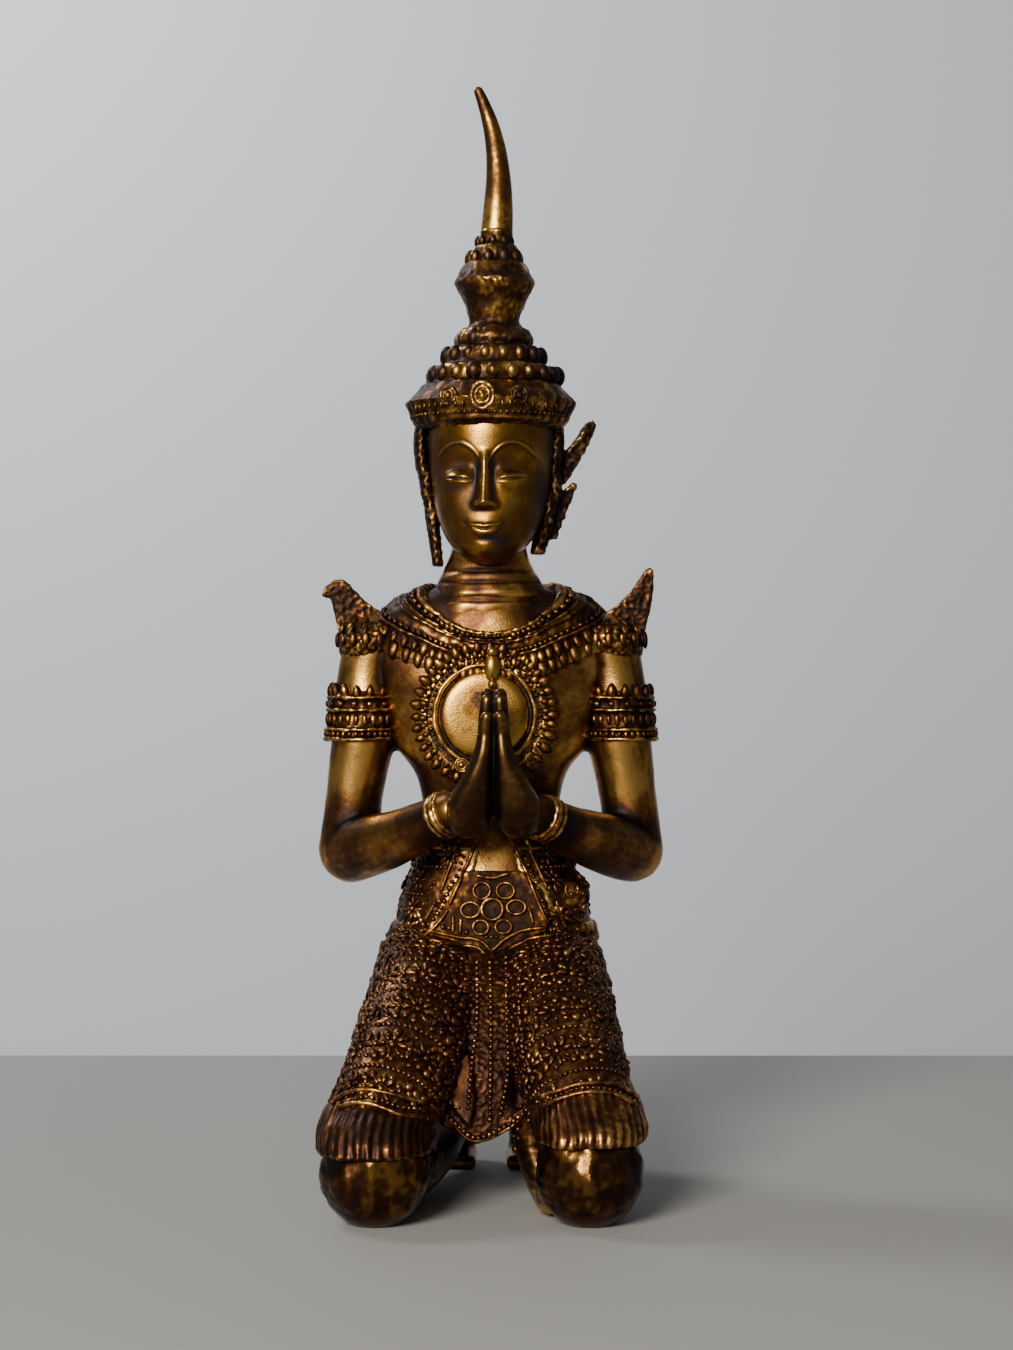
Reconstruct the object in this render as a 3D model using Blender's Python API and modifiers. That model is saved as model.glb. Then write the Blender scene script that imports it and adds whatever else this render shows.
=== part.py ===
"""A kneeling worshipper with palms together, one solid cast in bronze, standing on its knees and toes.

Lengths are written in millimetres of a figure 300 mm tall and multiplied by MM, so all of them are shares
of HEIGHT. X runs to the viewer's right, the figure faces -Y, and Z is up from the ground.
"""
import math

import bmesh
import bpy
import numpy as np
from mathutils import Euler, Matrix, Vector

HEIGHT = 0.300  # metres, from the ground to the tip of the crown's horn
MM = HEIGHT / 300
DEPTH_SHIFT = 21.7  # moves the figure back, so that the origin lies under the middle of its footprint
HEAD_TURN = math.radians(-5)  # the head looks a little to the viewer's left

CAST_GRAIN = 0.75 * MM  # the cell in which the shapes melt into one casting
FACE_BUDGET = 9600  # triangles of the finished casting
SEAT_CUT = 1.4  # how much of the knees and toes is flattened where the figure stands

PIECES = []


def at(x, y, z):
    return Vector((x * MM, (y + DEPTH_SHIFT) * MM, z * MM))


def through(rows, steps):
    """Rows of numbers resampled along a smooth curve that passes through every one of them."""
    rows = np.array(rows, float)
    padded = np.vstack([2 * rows[0] - rows[1], rows, 2 * rows[-1] - rows[-2]])
    made = []
    for i in range(len(rows) - 1):
        a, b, c, d = padded[i:i + 4]
        for k in range(steps):
            t = k / steps
            made.append(0.5 * (2 * b + (c - a) * t + (2 * a - 5 * b + 4 * c - d) * t ** 2
                               + (3 * b - a - 3 * c + d) * t ** 3))
    made.append(rows[-1])
    return np.array(made)


def keep(obj, matrix=None):
    """Notes a shape of the casting, turned by a matrix about the figure's axis where one is given."""
    if matrix is not None:
        pivot = Matrix.Translation(at(0, 0, 0))
        obj.matrix_world = pivot @ matrix @ pivot.inverted() @ obj.matrix_basis
    PIECES.append(obj)
    return obj


def mesh_object(name, mesh):
    obj = bpy.data.objects.new(name, mesh)
    bpy.context.scene.collection.objects.link(obj)
    return obj


def ball(name, centre, radii, turn=(0, 0, 0), sides=20):
    bm = bmesh.new()
    bmesh.ops.create_uvsphere(bm, u_segments=sides, v_segments=sides // 2, radius=1)
    mesh = bpy.data.meshes.new(name)
    bm.to_mesh(mesh)
    bm.free()
    leaning = Euler([math.radians(a) for a in turn]).to_matrix().to_4x4()
    mesh.transform(Matrix.Translation(at(*centre)) @ leaning @ Matrix.Diagonal((*(Vector(radii) * MM), 1)))
    return mesh_object(name, mesh)


def limb(name, stations, steps=5, round_ends=True):
    """A round limb through stations of x, y, z and radius."""
    rows = through(stations, steps)
    line = bpy.data.curves.new(name, "CURVE")
    line.dimensions = "3D"
    line.bevel_depth = MM
    line.bevel_resolution = 5
    line.use_fill_caps = True
    spline = line.splines.new("POLY")
    spline.points.add(len(rows) - 1)
    for point, (x, y, z, radius) in zip(spline.points, rows):
        point.co = (*at(x, y, z), 1)
        point.radius = radius
    obj = bpy.data.objects.new(name, line)
    bpy.context.scene.collection.objects.link(obj)
    if round_ends:
        for number, (x, y, z, radius) in enumerate((rows[0], rows[-1])):
            keep(ball(f"{name}_end{number}", (x, y, z), (radius,) * 3))
    return obj


def column(name, levels, steps=4, sides=48, flutes=0, flute_depth=0.0):
    """Level rings stacked into one closed body. A level is z, centre x and y, half width, half depth, squareness."""
    bm = bmesh.new()
    rings = []
    for z, cx, cy, half_width, half_depth, square in through(levels, steps):
        ring = []
        for k in range(sides):
            a = 2 * math.pi * k / sides
            wave = 1 + flute_depth * math.cos(flutes * a)
            x = math.copysign(abs(math.cos(a)) ** (2 / square), math.cos(a)) * half_width * wave
            y = math.copysign(abs(math.sin(a)) ** (2 / square), math.sin(a)) * half_depth * wave
            ring.append(bm.verts.new(at(cx + x, cy + y, z)))
        rings.append(ring)
    for low, high in zip(rings, rings[1:]):
        for k in range(sides):
            n = (k + 1) % sides
            bm.faces.new((low[k], low[n], high[n], high[k]))
    bm.faces.new(rings[0][::-1])
    bm.faces.new(rings[-1])
    bmesh.ops.recalc_face_normals(bm, faces=bm.faces)
    mesh = bpy.data.meshes.new(name)
    bm.to_mesh(mesh)
    bm.free()
    return mesh_object(name, mesh)


def plate(name, outline, y, thickness, turn=0.0):
    """A flat shape seen from the front, its outline in x and z, turned about its own upright axis."""
    middle = sum(x for x, z in outline) / len(outline)
    flat = bpy.data.curves.new(name, "CURVE")
    flat.dimensions = "2D"
    flat.fill_mode = "BOTH"
    flat.extrude = thickness / 2 * MM
    spline = flat.splines.new("POLY")
    spline.points.add(len(outline) - 1)
    for point, (x, z) in zip(spline.points, outline):
        point.co = ((x - middle) * MM, z * MM, 0, 1)
    spline.use_cyclic_u = True
    obj = bpy.data.objects.new(name, flat)
    bpy.context.scene.collection.objects.link(obj)
    obj.location = at(middle, y, 0)
    obj.rotation_euler = (math.pi / 2, 0, math.radians(turn))
    bpy.context.view_layer.update()
    return obj


def kept_side(obj, point, normal):
    """Cuts a closed mesh by a plane and keeps the side that the normal points to, closed again."""
    bm = bmesh.new()
    bm.from_mesh(obj.data)
    geometry = bm.verts[:] + bm.edges[:] + bm.faces[:]
    bmesh.ops.bisect_plane(bm, geom=geometry, plane_co=at(*point), plane_no=Vector(normal), clear_inner=True)
    bmesh.ops.holes_fill(bm, edges=[e for e in bm.edges if e.is_boundary])
    bmesh.ops.recalc_face_normals(bm, faces=bm.faces)
    bm.to_mesh(obj.data)
    bm.free()
    return obj


def grown(levels, by):
    return [(z, cx, cy, w + by, d + by, s) for z, cx, cy, w, d, s in levels]


def ring_of_balls(name, count, centre, ring_radius, radii, turn=None, start=0.0):
    for k in range(count):
        a = 2 * math.pi * (k + start) / count
        x, y = ring_radius * math.cos(a), ring_radius * math.sin(a)
        spot = (centre[0] + x, centre[1] + y, centre[2])
        keep(ball(f"{name}_{k}", spot, radii, turn=(0, 0, math.degrees(a)), sides=10), turn)


# The trunk, from under the seat to the root of the neck.
TRUNK = [
    (46, 0, 7, 23.0, 15.0, 2.2), (54, 0, 5, 27.5, 19.0, 2.2), (64, 0.5, 3, 28.2, 19.5, 2.3),
    (70, 0.8, 2, 26.2, 18.0, 2.3), (76, 0.7, 0.5, 24.6, 16.4, 2.3), (82, 0.7, -0.5, 23.0, 14.8, 2.3),
    (90, 0.5, -1, 20.0, 12.6, 2.2), (97, 0, -1, 18.2, 11.6, 2.2), (105, 0, -1, 19.0, 12.0, 2.2),
    (112, 0, -1, 21.0, 12.8, 2.2), (119, 0, -0.5, 26.4, 13.6, 2.4), (128, 0, 0, 29.6, 14.6, 2.4),
    (138, 0, 0, 31.5, 14.6, 2.5), (146, 0, 0.5, 33.2, 13.4, 2.5), (152, 0, 1, 31.6, 11.8, 2.4),
    (157, 0.4, 1, 26.6, 10.2, 2.3), (160.5, 0.4, 1, 20.0, 9.0, 2.2), (163, 0, 1, 14.0, 8.6, 2.0),
]
COLLAR_EDGE = [(-31.5, 1, 151.4, 3.0), (-27.4, 1, 156.0, 2.6), (-24.2, 0.4, 158.9, 2.1), (-18.5, -3, 159.6, 1.6)]
COLLAR_RISE = 1.5
COLLAR_TILT = 0.575  # how much the collar climbs from the breast to the nape, as a slope
COLLAR_EDGE_Z = 141.0
COLLAR_ROLLS = ((1.6, 1.1), (8.0, 1.2))  # height above the lower edge at the breast, and radius
COLLAR_LEAVES = 30
BELT_RISE = 1.4


def round_collar(share, lift, out):
    """A point round the collar, a share of a turn from the right arm, lifted above its lower edge."""
    a = 2 * math.pi * share
    z = COLLAR_EDGE_Z + lift
    for _ in range(6):
        cx, cy, w, d, _ = (np.interp(z, [row[0] for row in TRUNK], [row[k] for row in TRUNK]) for k in range(1, 6))
        x, y = cx + (w + out) * math.cos(a), cy + (d + out) * math.sin(a)
        z = COLLAR_EDGE_Z + lift + (y + 15) * COLLAR_TILT
    return x, y, z


def make_trunk():
    keep(column("trunk", TRUNK))
    collar = column("collar", grown(TRUNK, COLLAR_RISE))
    keep(kept_side(collar, (0, -15, COLLAR_EDGE_Z), (0, -COLLAR_TILT, 1)))
    for lift, radius in COLLAR_ROLLS:
        roll = [(*round_collar(k / 40, lift, COLLAR_RISE), radius) for k in range(41)]
        keep(limb("collar_roll", roll, steps=1, round_ends=False))
    for k in range(COLLAR_LEAVES):
        keep(ball("collar_leaf", round_collar((k + 0.5) / COLLAR_LEAVES, -0.9, 0.6), (1.9, 1.6, 2.6), sides=10))
    for side in (-1, 1):
        keep(limb("collar_edge", [(0.6 - x * side, y, z, r) for x, y, z, r in COLLAR_EDGE]))
        keep(ball("seat", (12.5 * side, 12, 56), (15.5, 15.5, 15)))
        keep(ball("breast", (10.5 * side, -8.5, 130), (10, 6.5, 9)))


# The chest pendant: a ringed disc hung from the collar by a bulb, with a stud at each lower side.
PENDANT = (-1.6, -15.4, 127.6)
PENDANT_RADIUS = 14.2


def make_pendant():
    x, y, z = PENDANT
    keep(ball("pendant_disc", (x, y + 1.2, z), (PENDANT_RADIUS, 2.4, PENDANT_RADIUS)))
    bpy.ops.mesh.primitive_torus_add(major_radius=PENDANT_RADIUS * MM, minor_radius=1.7 * MM,
                                     major_segments=40, minor_segments=10)
    ring = bpy.context.object
    ring.location = at(x, y + 0.3, z)
    ring.rotation_euler = (math.pi / 2, 0, 0)
    bpy.context.view_layer.update()
    keep(ring)
    keep(ball("pendant_bulb", (0.8, y - 0.6, 141.5), (2.4, 2.0, 4.6)))
    for side in (-1, 1):
        keep(ball("pendant_stud", (x + 9.4 * side, y + 1.6, z - 14.6), (2.2, 2.0, 2.2)))


# The arms: a shoulder, a straight upper arm, a bent elbow and a forearm that comes forward to the hands.
UPPER_ARM = [
    (32.0, 0.5, 147.0, 8.6), (34.0, 0.5, 138.0, 8.3), (35.0, 0.5, 127.0, 8.7), (35.3, 0.7, 120.0, 8.8),
    (37.0, 0.9, 110.0, 8.2), (38.1, 1.0, 101.5, 8.0), (38.6, 0.6, 90.2, 8.9),
]
FOREARM = [
    (38.6, 0.6, 90.2, 8.9), (33.0, -7.5, 91.8, 8.4), (24.5, -17.0, 94.9, 7.5), (14.6, -27.5, 98.2, 5.8),
    (11.0, -31.0, 99.7, 5.6),
]
ARMLET_Z = 127.3
ARMLET_HALF = 7.0
BRACELET = (16.0, -26.0, 97.4)


def make_arms():
    for side in (-1, 1):
        keep(limb("upper_arm", [(x * side, y, z, r) for x, y, z, r in UPPER_ARM]))
        keep(limb("forearm", [(x * side, y, z, r) for x, y, z, r in FOREARM]))
        armlet = [(ARMLET_Z + dz, (35.3 - dz * 0.1) * side, 0.5, r, r, 2.0)
                  for dz, r in ((-ARMLET_HALF, 9.0), (-6.2, 10.1), (-2, 9.8), (0, 9.7), (2.5, 9.9), (6.0, 10.3),
                                (ARMLET_HALF, 9.4))]
        keep(column("armlet", armlet, steps=2, flutes=24, flute_depth=0.018))
        ring_of_balls("armlet_bead", 14, (35.8 * side, 0.5, ARMLET_Z - 5.2), 9.8, (1.0, 1.2, 1.1))
        x, y, z = BRACELET
        for k, radius in enumerate((6.9, 7.1)):
            cuff = limb("bracelet", [((x + 2.7 * k - 0.6) * side, y + 2.6 * k, z - 0.9 * k, radius),
                                     ((x + 2.7 * k + 0.8) * side, y + 2.6 * k + 1.4, z - 0.9 * k - 0.4, radius)],
                        steps=1, round_ends=False)
            keep(cuff)


# The hands, palm to palm. A finger is x from the seam, y, z at its root and at its tip, and its radius.
PALM = [
    (96.5, 8.2, -32.8, 5.4, 6.0, 2.2), (101, 6.6, -34.2, 6.0, 7.2, 2.3), (106, 5.1, -35.4, 5.1, 7.6, 2.4),
    (111, 4.0, -36.0, 4.1, 7.5, 2.5), (116, 3.2, -36.4, 3.3, 7.1, 2.5), (121, 2.4, -36.6, 2.6, 6.6, 2.5),
]
FINGERS = [(-42.0, 128.0, 1.85), (-38.8, 132.5, 2.0), (-35.2, 133.6, 2.05), (-31.8, 131.0, 1.9)]
THUMB = [(5.4, -29.0, 107, 2.4), (3.2, -27.6, 114, 2.2), (2.2, -27.4, 119.5, 1.9)]


def make_hands():
    for side in (-1, 1):
        middle = 0.9
        keep(column("palm", [(z, middle + cx * side, cy, w, d, s) for z, cx, cy, w, d, s in PALM], sides=24))
        for number, (y, tip, radius) in enumerate(FINGERS):
            root = (middle + 2.8 * side, y * 0.62 - 13.6, 117.0, radius * 1.1)
            bend = (middle + 2.3 * side, y * 0.9 - 3.6, 125.0, radius)
            keep(limb(f"finger{number}", [root, bend, (middle + 1.5 * side, y, tip, radius * 0.82)]))
        keep(limb("thumb", [(middle + x * side, y, z, r) for x, y, z, r in THUMB]))


# The head: level sections of the skull and face, before the head is turned.
NECK = [(155, 0, 1, 15.5, 9.5, 2), (160, 0, 0.8, 14.6, 9.8, 2), (163.5, 0, 0.6, 12.6, 9.8, 2),
        (167, 0, 0.6, 11.0, 9.4, 2), (171, 0, 0.8, 9.9, 8.8, 2), (176, 0, 1, 9.5, 9, 2), (182, 0, 1, 10, 10, 2)]
NECK_FOLDS = [(156.8, 15.0, 10.6), (161.2, 13.9, 10.5), (165.0, 12.1, 10.3)]
SKULL = [
    (168.8, 0, -8.6, 3.6, 4.4, 2), (170.4, 0, -7.6, 6.8, 7.6, 2), (173.6, 0, -5.6, 10.4, 11.6, 2.1),
    (178.5, 0, -3.2, 13.2, 15.0, 2.1), (185, 0, -1.4, 15.2, 17.0, 2.1), (192, 0, -0.4, 16.3, 17.8, 2.1),
    (199, 0, 0, 17.0, 18.2, 2.1), (206, 0, 0.2, 17.2, 18.4, 2.1), (213, 0, 0.4, 16.2, 17.4, 2),
    (219, 0, 0.4, 12, 13, 2),
]


def make_head():
    turn = Matrix.Rotation(HEAD_TURN, 4, "Z")
    keep(column("neck", NECK))
    for z, w, d in NECK_FOLDS:
        fold = [(z + dz, 0, 0.6, w - abs(dz) * 0.3, d - abs(dz) * 0.5, 2) for dz in (-1.9, 0, 1.9)]
        keep(column("neck_fold", fold, steps=3))
    keep(column("skull", SKULL), turn)
    nose = [(0, -18.6, 195.5, 1.5), (0, -19.6, 190, 1.6), (0, -20.8, 185.2, 1.9), (0, -20.6, 183.2, 2.1)]
    keep(limb("nose", nose, round_ends=False), turn)
    keep(ball("nose_tip", (0, -20.4, 183.6), (2.3, 2.3, 1.9)), turn)
    for side in (-1, 1):
        keep(ball("nostril", (2.2 * side, -18.6, 183.3), (1.5, 2.0, 1.4)), turn)
        keep(ball("eyelid", (6.9 * side, -16.0, 192.4), (4.3, 2.6, 1.9), turn=(0, -6 * side, 0)), turn)
        brow = [(1.0, -18.8, 195.0, 0.7), (3.6, -18.4, 198.6, 0.8), (8.0, -17.0, 200.6, 0.8),
                (12.6, -13.4, 198.6, 0.7)]
        keep(limb("brow", [(x * side, y, z, r) for x, y, z, r in brow], round_ends=False), turn)
        keep(ball("cheek", (8.4 * side, -12.0, 184.0), (6.0, 6.0, 7.4)), turn)
        keep(ball("lip", (1.8 * side, -17.7, 178.6), (3.0, 1.8, 0.9), turn=(0, -8 * side, 0)), turn)
    keep(ball("lower_lip", (0, -17.5, 176.7), (3.2, 1.8, 1.1)), turn)
    keep(ball("chin", (0, -13.6, 172.0), (4.0, 3.6, 3.4)), turn)


# The crown: one turned body of stepped rings, a flared pot and a bent horn. Rows are z, centre x, radius.
CROWN = [
    (205.6, -0.2, 18.6), (207.2, -0.2, 20.6), (209.0, -0.2, 21.6), (212.4, -0.1, 23.2), (213.4, -0.1, 22.8),
    (217.0, 0.2, 19.6), (218.2, 0.2, 18.0), (222.4, 0.4, 17.4), (223.4, 0.5, 14.6), (227.4, 0.7, 13.2),
    (228.4, 0.8, 10.4), (230.6, 0.9, 10.8), (232.8, 1.0, 9.4), (234.2, 1.0, 7.2), (236.4, 1.0, 6.9),
    (241.3, 1.0, 8.7), (244.6, 1.0, 10.6), (246.2, 1.0, 11.1), (247.4, 1.0, 10.5), (251.0, 1.1, 8.4),
    (252.4, 1.2, 6.8), (256.0, 1.3, 5.6), (257.0, 1.4, 4.5), (260.6, 1.5, 4.5),
]
HORN = [
    (1.5, 0, 259.5, 4.5), (2.0, 0.3, 268.0, 4.0), (2.0, 0.5, 276.0, 3.35), (1.2, 0.5, 284.0, 2.75),
    (-0.3, 0.3, 290.5, 2.2), (-2.2, 0, 296.0, 1.65), (-3.4, -0.2, 298.85, 1.35),
]


def make_crown():
    turn = Matrix.Rotation(HEAD_TURN, 4, "Z")
    keep(column("crown", [(z, cx, 0, r, r, 2) for z, cx, r in CROWN], steps=2))
    keep(limb("horn", HORN))
    ring_of_balls("tier_low", 22, (0.6, 0, 220.2), 17.1, (2.1, 2.3, 2.6), turn)
    ring_of_balls("tier_mid", 18, (0.8, 0, 225.6), 13.1, (1.9, 2.1, 2.4), turn)
    ring_of_balls("tier_high", 14, (1.1, 0, 230.2), 9.6, (1.4, 1.9, 2.1), turn)
    ring_of_balls("pot_petal", 10, (1.2, 0, 253.0), 6.3, (1.7, 1.9, 2.2), turn)
    ring_of_balls("horn_bead", 10, (1.0, 0, 257.6), 4.3, (1.0, 1.3, 1.2), turn)
    keep(ball("jewel", (-0.1, -23.0, 213.0), (3.9, 2.4, 4.0)), turn)
    for side in (-1, 1):
        keep(ball("rosette", (9.4 * side, -20.8, 213.4), (2.8, 1.9, 2.8)), turn)


# The ear ornaments: a strip down each side of the head. The viewer's right one has two flames bent outwards.
LEFT_STRIP = [
    (209, -18.6, 3, 1.6, 4.5, 2.2), (204, -19.4, 3, 2.0, 5.2, 2.2), (196, -18.8, 3, 2.0, 5.4, 2.2),
    (189, -17.2, 2.6, 1.9, 4.4, 2.2), (182, -16.2, 2.0, 1.9, 3.6, 2.2), (175, -15.4, 1.6, 1.7, 3.2, 2.2),
    (168.4, -14.6, 1.4, 1.5, 2.8, 2.2),
]
RIGHT_STRIP = [
    (209, 18.0, 3, 1.6, 4.5, 2.2), (204, 18.2, 3, 2.0, 5.2, 2.2), (196, 17.6, 3, 2.2, 5.4, 2.2),
    (189, 16.8, 2.6, 2.4, 4.4, 2.2), (182, 15.6, 2.0, 2.4, 3.8, 2.2), (176, 13.8, 1.6, 2.4, 3.2, 2.2),
    (171.6, 12.8, 1.4, 2.0, 2.8, 2.2),
]
EAR_FLAME_HIGH = [(16.0, 190), (20.5, 191.3), (24.2, 197.3), (27.0, 202.2), (29.0, 207.2), (28.0, 208.9),
                  (25.8, 207.4), (22.8, 202.7), (20.1, 199.5), (16.0, 198)]
EAR_FLAME_LOW = [(15.4, 176), (17.8, 175.8), (21.0, 184.4), (23.7, 190.6), (22.8, 191.9), (19.6, 188.8),
                 (16.0, 186)]
FLAME_THICKNESS = 3.2


def make_ears():
    keep(column("left_ear_strip", LEFT_STRIP, sides=20))
    keep(column("right_ear_strip", RIGHT_STRIP, sides=20))
    keep(plate("right_ear_flame_high", EAR_FLAME_HIGH, 3.6, FLAME_THICKNESS, turn=12))
    keep(plate("right_ear_flame_low", EAR_FLAME_LOW, 2.8, FLAME_THICKNESS, turn=12))
    left_flame = limb("left_ear_flame", [(-18.4, 6, 196, 2.4), (-19.2, 10, 203, 2.2), (-19.6, 14, 210, 1.3)])
    keep(left_flame)
    for side in (-1, 1):
        keep(ball("ear", (17.6 * side, 0.8, 191), (2.0, 3.4, 6.4)))


# The shoulder flames stand up from the ends of the collar. The viewer's left one has a beak bent outwards.
LEFT_SHOULDER_FLAME = [
    (-28.6, 147), (-39.2, 143.6), (-41.2, 147.4), (-42.0, 151), (-43.1, 155.2), (-44.1, 159.4), (-46.6, 160.2),
    (-45.6, 162.6), (-43.4, 164.4), (-41.0, 164.8), (-39.0, 163.4), (-37.4, 161.5), (-34.4, 158.3), (-30.6, 156),
]
RIGHT_SHOULDER_FLAME = [
    (29.4, 147), (40.6, 144), (42.8, 152.4), (44.0, 157.3), (44.8, 162.9), (44.7, 167.2), (43.6, 168.1),
    (42.2, 166.8), (38.7, 161.5), (35.2, 158.0), (31.4, 155.4),
]


def make_shoulder_flames():
    keep(plate("left_shoulder_flame", LEFT_SHOULDER_FLAME, 1.2, FLAME_THICKNESS + 0.6))
    keep(plate("right_shoulder_flame", RIGHT_SHOULDER_FLAME, 1.2, FLAME_THICKNESS + 0.6))
    for side in (-1, 1):
        keep(ball("shoulder_cap", (33.0 * side, 0.6, 147.6), (9.4, 10.2, 6.4), turn=(0, 22 * side, 0)))


# The belt: a shield-shaped plate under a flower boss, with a beaded strap up each side of the navel.
BELT_SHIELD = [(-18, 68.5), (-15.5, 81), (-7, 88), (7, 88), (15.5, 81), (15, 69), (7.5, 66.5), (-0.4, 61.6),
               (-6, 64.8)]
FLOWER = (0.4, 74.6)
FLOWER_PETALS = 6


def make_belt():
    belt = column("hip_wrap", grown(TRUNK[1:7], BELT_RISE))
    keep(kept_side(belt, (0, -18, 66), (0, 0.12, 1)))
    shield = plate("belt_shield", BELT_SHIELD, -15.2, 6.0)
    shield.rotation_euler[0] += math.radians(-9)
    shield.location.y += -11.6 * MM
    bpy.context.view_layer.update()
    keep(shield)
    x, z = FLOWER
    face = -19.2
    keep(ball("flower_boss", (x, face, z), (3.2, 2.0, 3.2)))
    for k in range(FLOWER_PETALS):
        a = 2 * math.pi * k / FLOWER_PETALS
        keep(ball("flower_petal", (x + 5.3 * math.cos(a), face + 0.4, z + 5.3 * math.sin(a)), (2.1, 1.5, 2.1)))
    keep(ball("hip_knot", (21.6, -8.0, 75), (5.0, 5.6, 4.4), turn=(20, 14, 0)))
    for side in (-1, 1):
        strap = [(5.8, -14.0, 93.5, 1.6), (8.8, -15.2, 84, 1.6), (13.0, -16.6, 74, 1.7), (19.0, -15.0, 66.6, 1.7)]
        keep(limb("strap", [(0.5 + px * side, py, pz, r) for px, py, pz, r in strap]))


# The legs, mirrored but for the outer knee: thigh, knee, calf, ankle and an upright foot on tucked toes.
THIGH = [(14.0, 2, 60, 16.2), (16.2, -16, 52, 15.9), (19.3, -32, 43.5, 15.1), (23.6, -46, 33.0, 13.7),
         (28.0, -56, 22.0, 13.2)]
CALF = [(28.0, -56, 12.0, 12.2), (25.0, -40, 12.5, 12.8), (20.0, -20, 14.0, 12.4), (15.2, 0, 15.0, 9.2),
        (12.6, 13, 17.0, 7.2)]
FOOT = [(12.2, 15, 19, 6.6), (11.8, 22, 32, 7.0), (11.4, 24, 22, 6.6), (11.2, 25, 11, 6.6), (11.2, 23.0, 5.0, 6.0)]
KNEES = {-1: (-29.0, -60.2, 13.1), 1: (25.2, -60.2, 13.1)}
KNEE_RADII = (13.9, 13.4, 14.5)
HEM_FLUTES = 22


def make_legs():
    for side, knee in KNEES.items():
        shift = knee[0] - 28.0 * side
        for name, stations in (("thigh", THIGH), ("calf", CALF)):
            rows = []
            for x, y, z, radius in stations:
                share = min(1, max(0, (2 - y) / 58)) ** (3 if name == "thigh" and side > 0 else 1)
                rows.append((x * side + shift * share, y, z, radius))
            keep(limb(name, rows))
        keep(limb("foot", [(x * side, y, z, r) for x, y, z, r in FOOT]))
        for k, size in enumerate((2.6, 2.2, 2.1, 2.0, 1.8)):
            toe = (6.6 + 2.5 * k) * side
            keep(limb("toe", [(toe, 22, 4.0, size), (toe, 14.0 + 0.5 * k, 1.6, size * 0.95)]))
        keep(ball("knee", knee, KNEE_RADII))
        for k in (-1, 0, 1):
            keep(limb("knee_ridge", [(knee[0] + 5.2 * k, knee[1] - 10.4 + 2.2 * abs(k), knee[2] + 9.0, 1.1),
                                     (knee[0] + 6.6 * k, knee[1] - 12.9 + 2.2 * abs(k), knee[2] + 1.0, 1.2),
                                     (knee[0] + 4.4 * k, knee[1] - 11.6 + 1.4 * abs(k), knee[2] - 6.5, 0.9)]))
        keep(column("hem", HEMS[side], steps=3, sides=88, flutes=HEM_FLUTES, flute_depth=0.018))
    keep(column("inner_cloth", INNER_CLOTH))


# The fluted cuff of the cloth round each knee, level at its lower edge on the left and rising outwards on the right.
HEMS = {
    -1: [(13.6, -29.2, -57.6, 11.0, 12.6, 2), (16.8, -29.3, -58.6, 14.2, 16.0, 2), (19.5, -29.4, -58.4, 14.5, 16.2, 2),
         (23.4, -29.4, -57.0, 14.3, 15.6, 2), (27.6, -28.6, -54.5, 13.6, 14.6, 2), (30.2, -28.0, -52.4, 12.8, 14.2, 2),
         (33.6, -26.2, -49.0, 12.0, 13.8, 2), (35.4, -25.2, -47.0, 11.0, 12.6, 2)],
    1: [(17.2, 25.4, -58.2, 11.0, 12.6, 2), (20.0, 25.6, -58.0, 14.0, 15.6, 2), (23.9, 25.8, -57.0, 14.2, 15.8, 2),
        (28.1, 25.2, -54.5, 13.8, 14.8, 2), (31.3, 24.4, -52.0, 13.2, 14.2, 2), (34.4, 23.6, -49.0, 12.4, 13.8, 2),
        (36.6, 22.8, -46.6, 11.2, 12.8, 2)],
}
INNER_CLOTH = [(1, 15.8, -46, 3.4, 9, 2), (6, 14.6, -44, 4.8, 12, 2), (13, 12.6, -40, 5.6, 15, 2),
               (20, 11.0, -36, 5.4, 14, 2), (28, 11.0, -32, 5.0, 12, 2)]


# The sash hangs from the belt between the thighs and ends in a broad point over the gap between the knees.
# A row is z, left edge x, right edge x, y of the front and half thickness.
SASH = [(17.0, -4.7, -3.7, -43.6, 1.4), (18.4, -6.6, -0.5, -43.4, 2.0), (20.4, -9.6, 3.7, -43.0, 2.4),
        (22.8, -12.6, 6.4, -42.4, 2.6), (25.0, -15.0, 9.6, -41.6, 2.8), (28.4, -16.2, 13.0, -40.6, 3.0),
        (32.0, -16.0, 13.6, -39.2, 3.2), (37, -14.2, 12.6, -36.0, 3.4), (44, -11.0, 10.2, -30.0, 3.6),
        (52, -8.8, 8.6, -24.0, 3.8), (60, -7.8, 8.2, -19.0, 4.0), (68, -7.4, 8.2, -15.0, 4.0)]
LAP = [(29, -1, -31, 12, 9.5, 2.4), (33, -0.6, -29.5, 16, 11.5, 2.6), (40, 0, -24.5, 18, 13.5, 2.6),
       (50, 0, -16.5, 18, 14, 2.6), (62, 0, -8, 17, 12, 2.4)]


def make_sash():
    keep(column("sash", [(z, (a + b) / 2, y, (b - a) / 2, t, 3.2) for z, a, b, y, t in SASH], steps=3))
    keep(column("lap", LAP))
    for k in (-1, 0, 1):
        fold = [((a + b) / 2 + 3.4 * k, y - t + 0.5, z, 1.3) for z, a, b, y, t in SASH[2::2]]
        keep(limb("sash_fold", fold))


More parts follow.
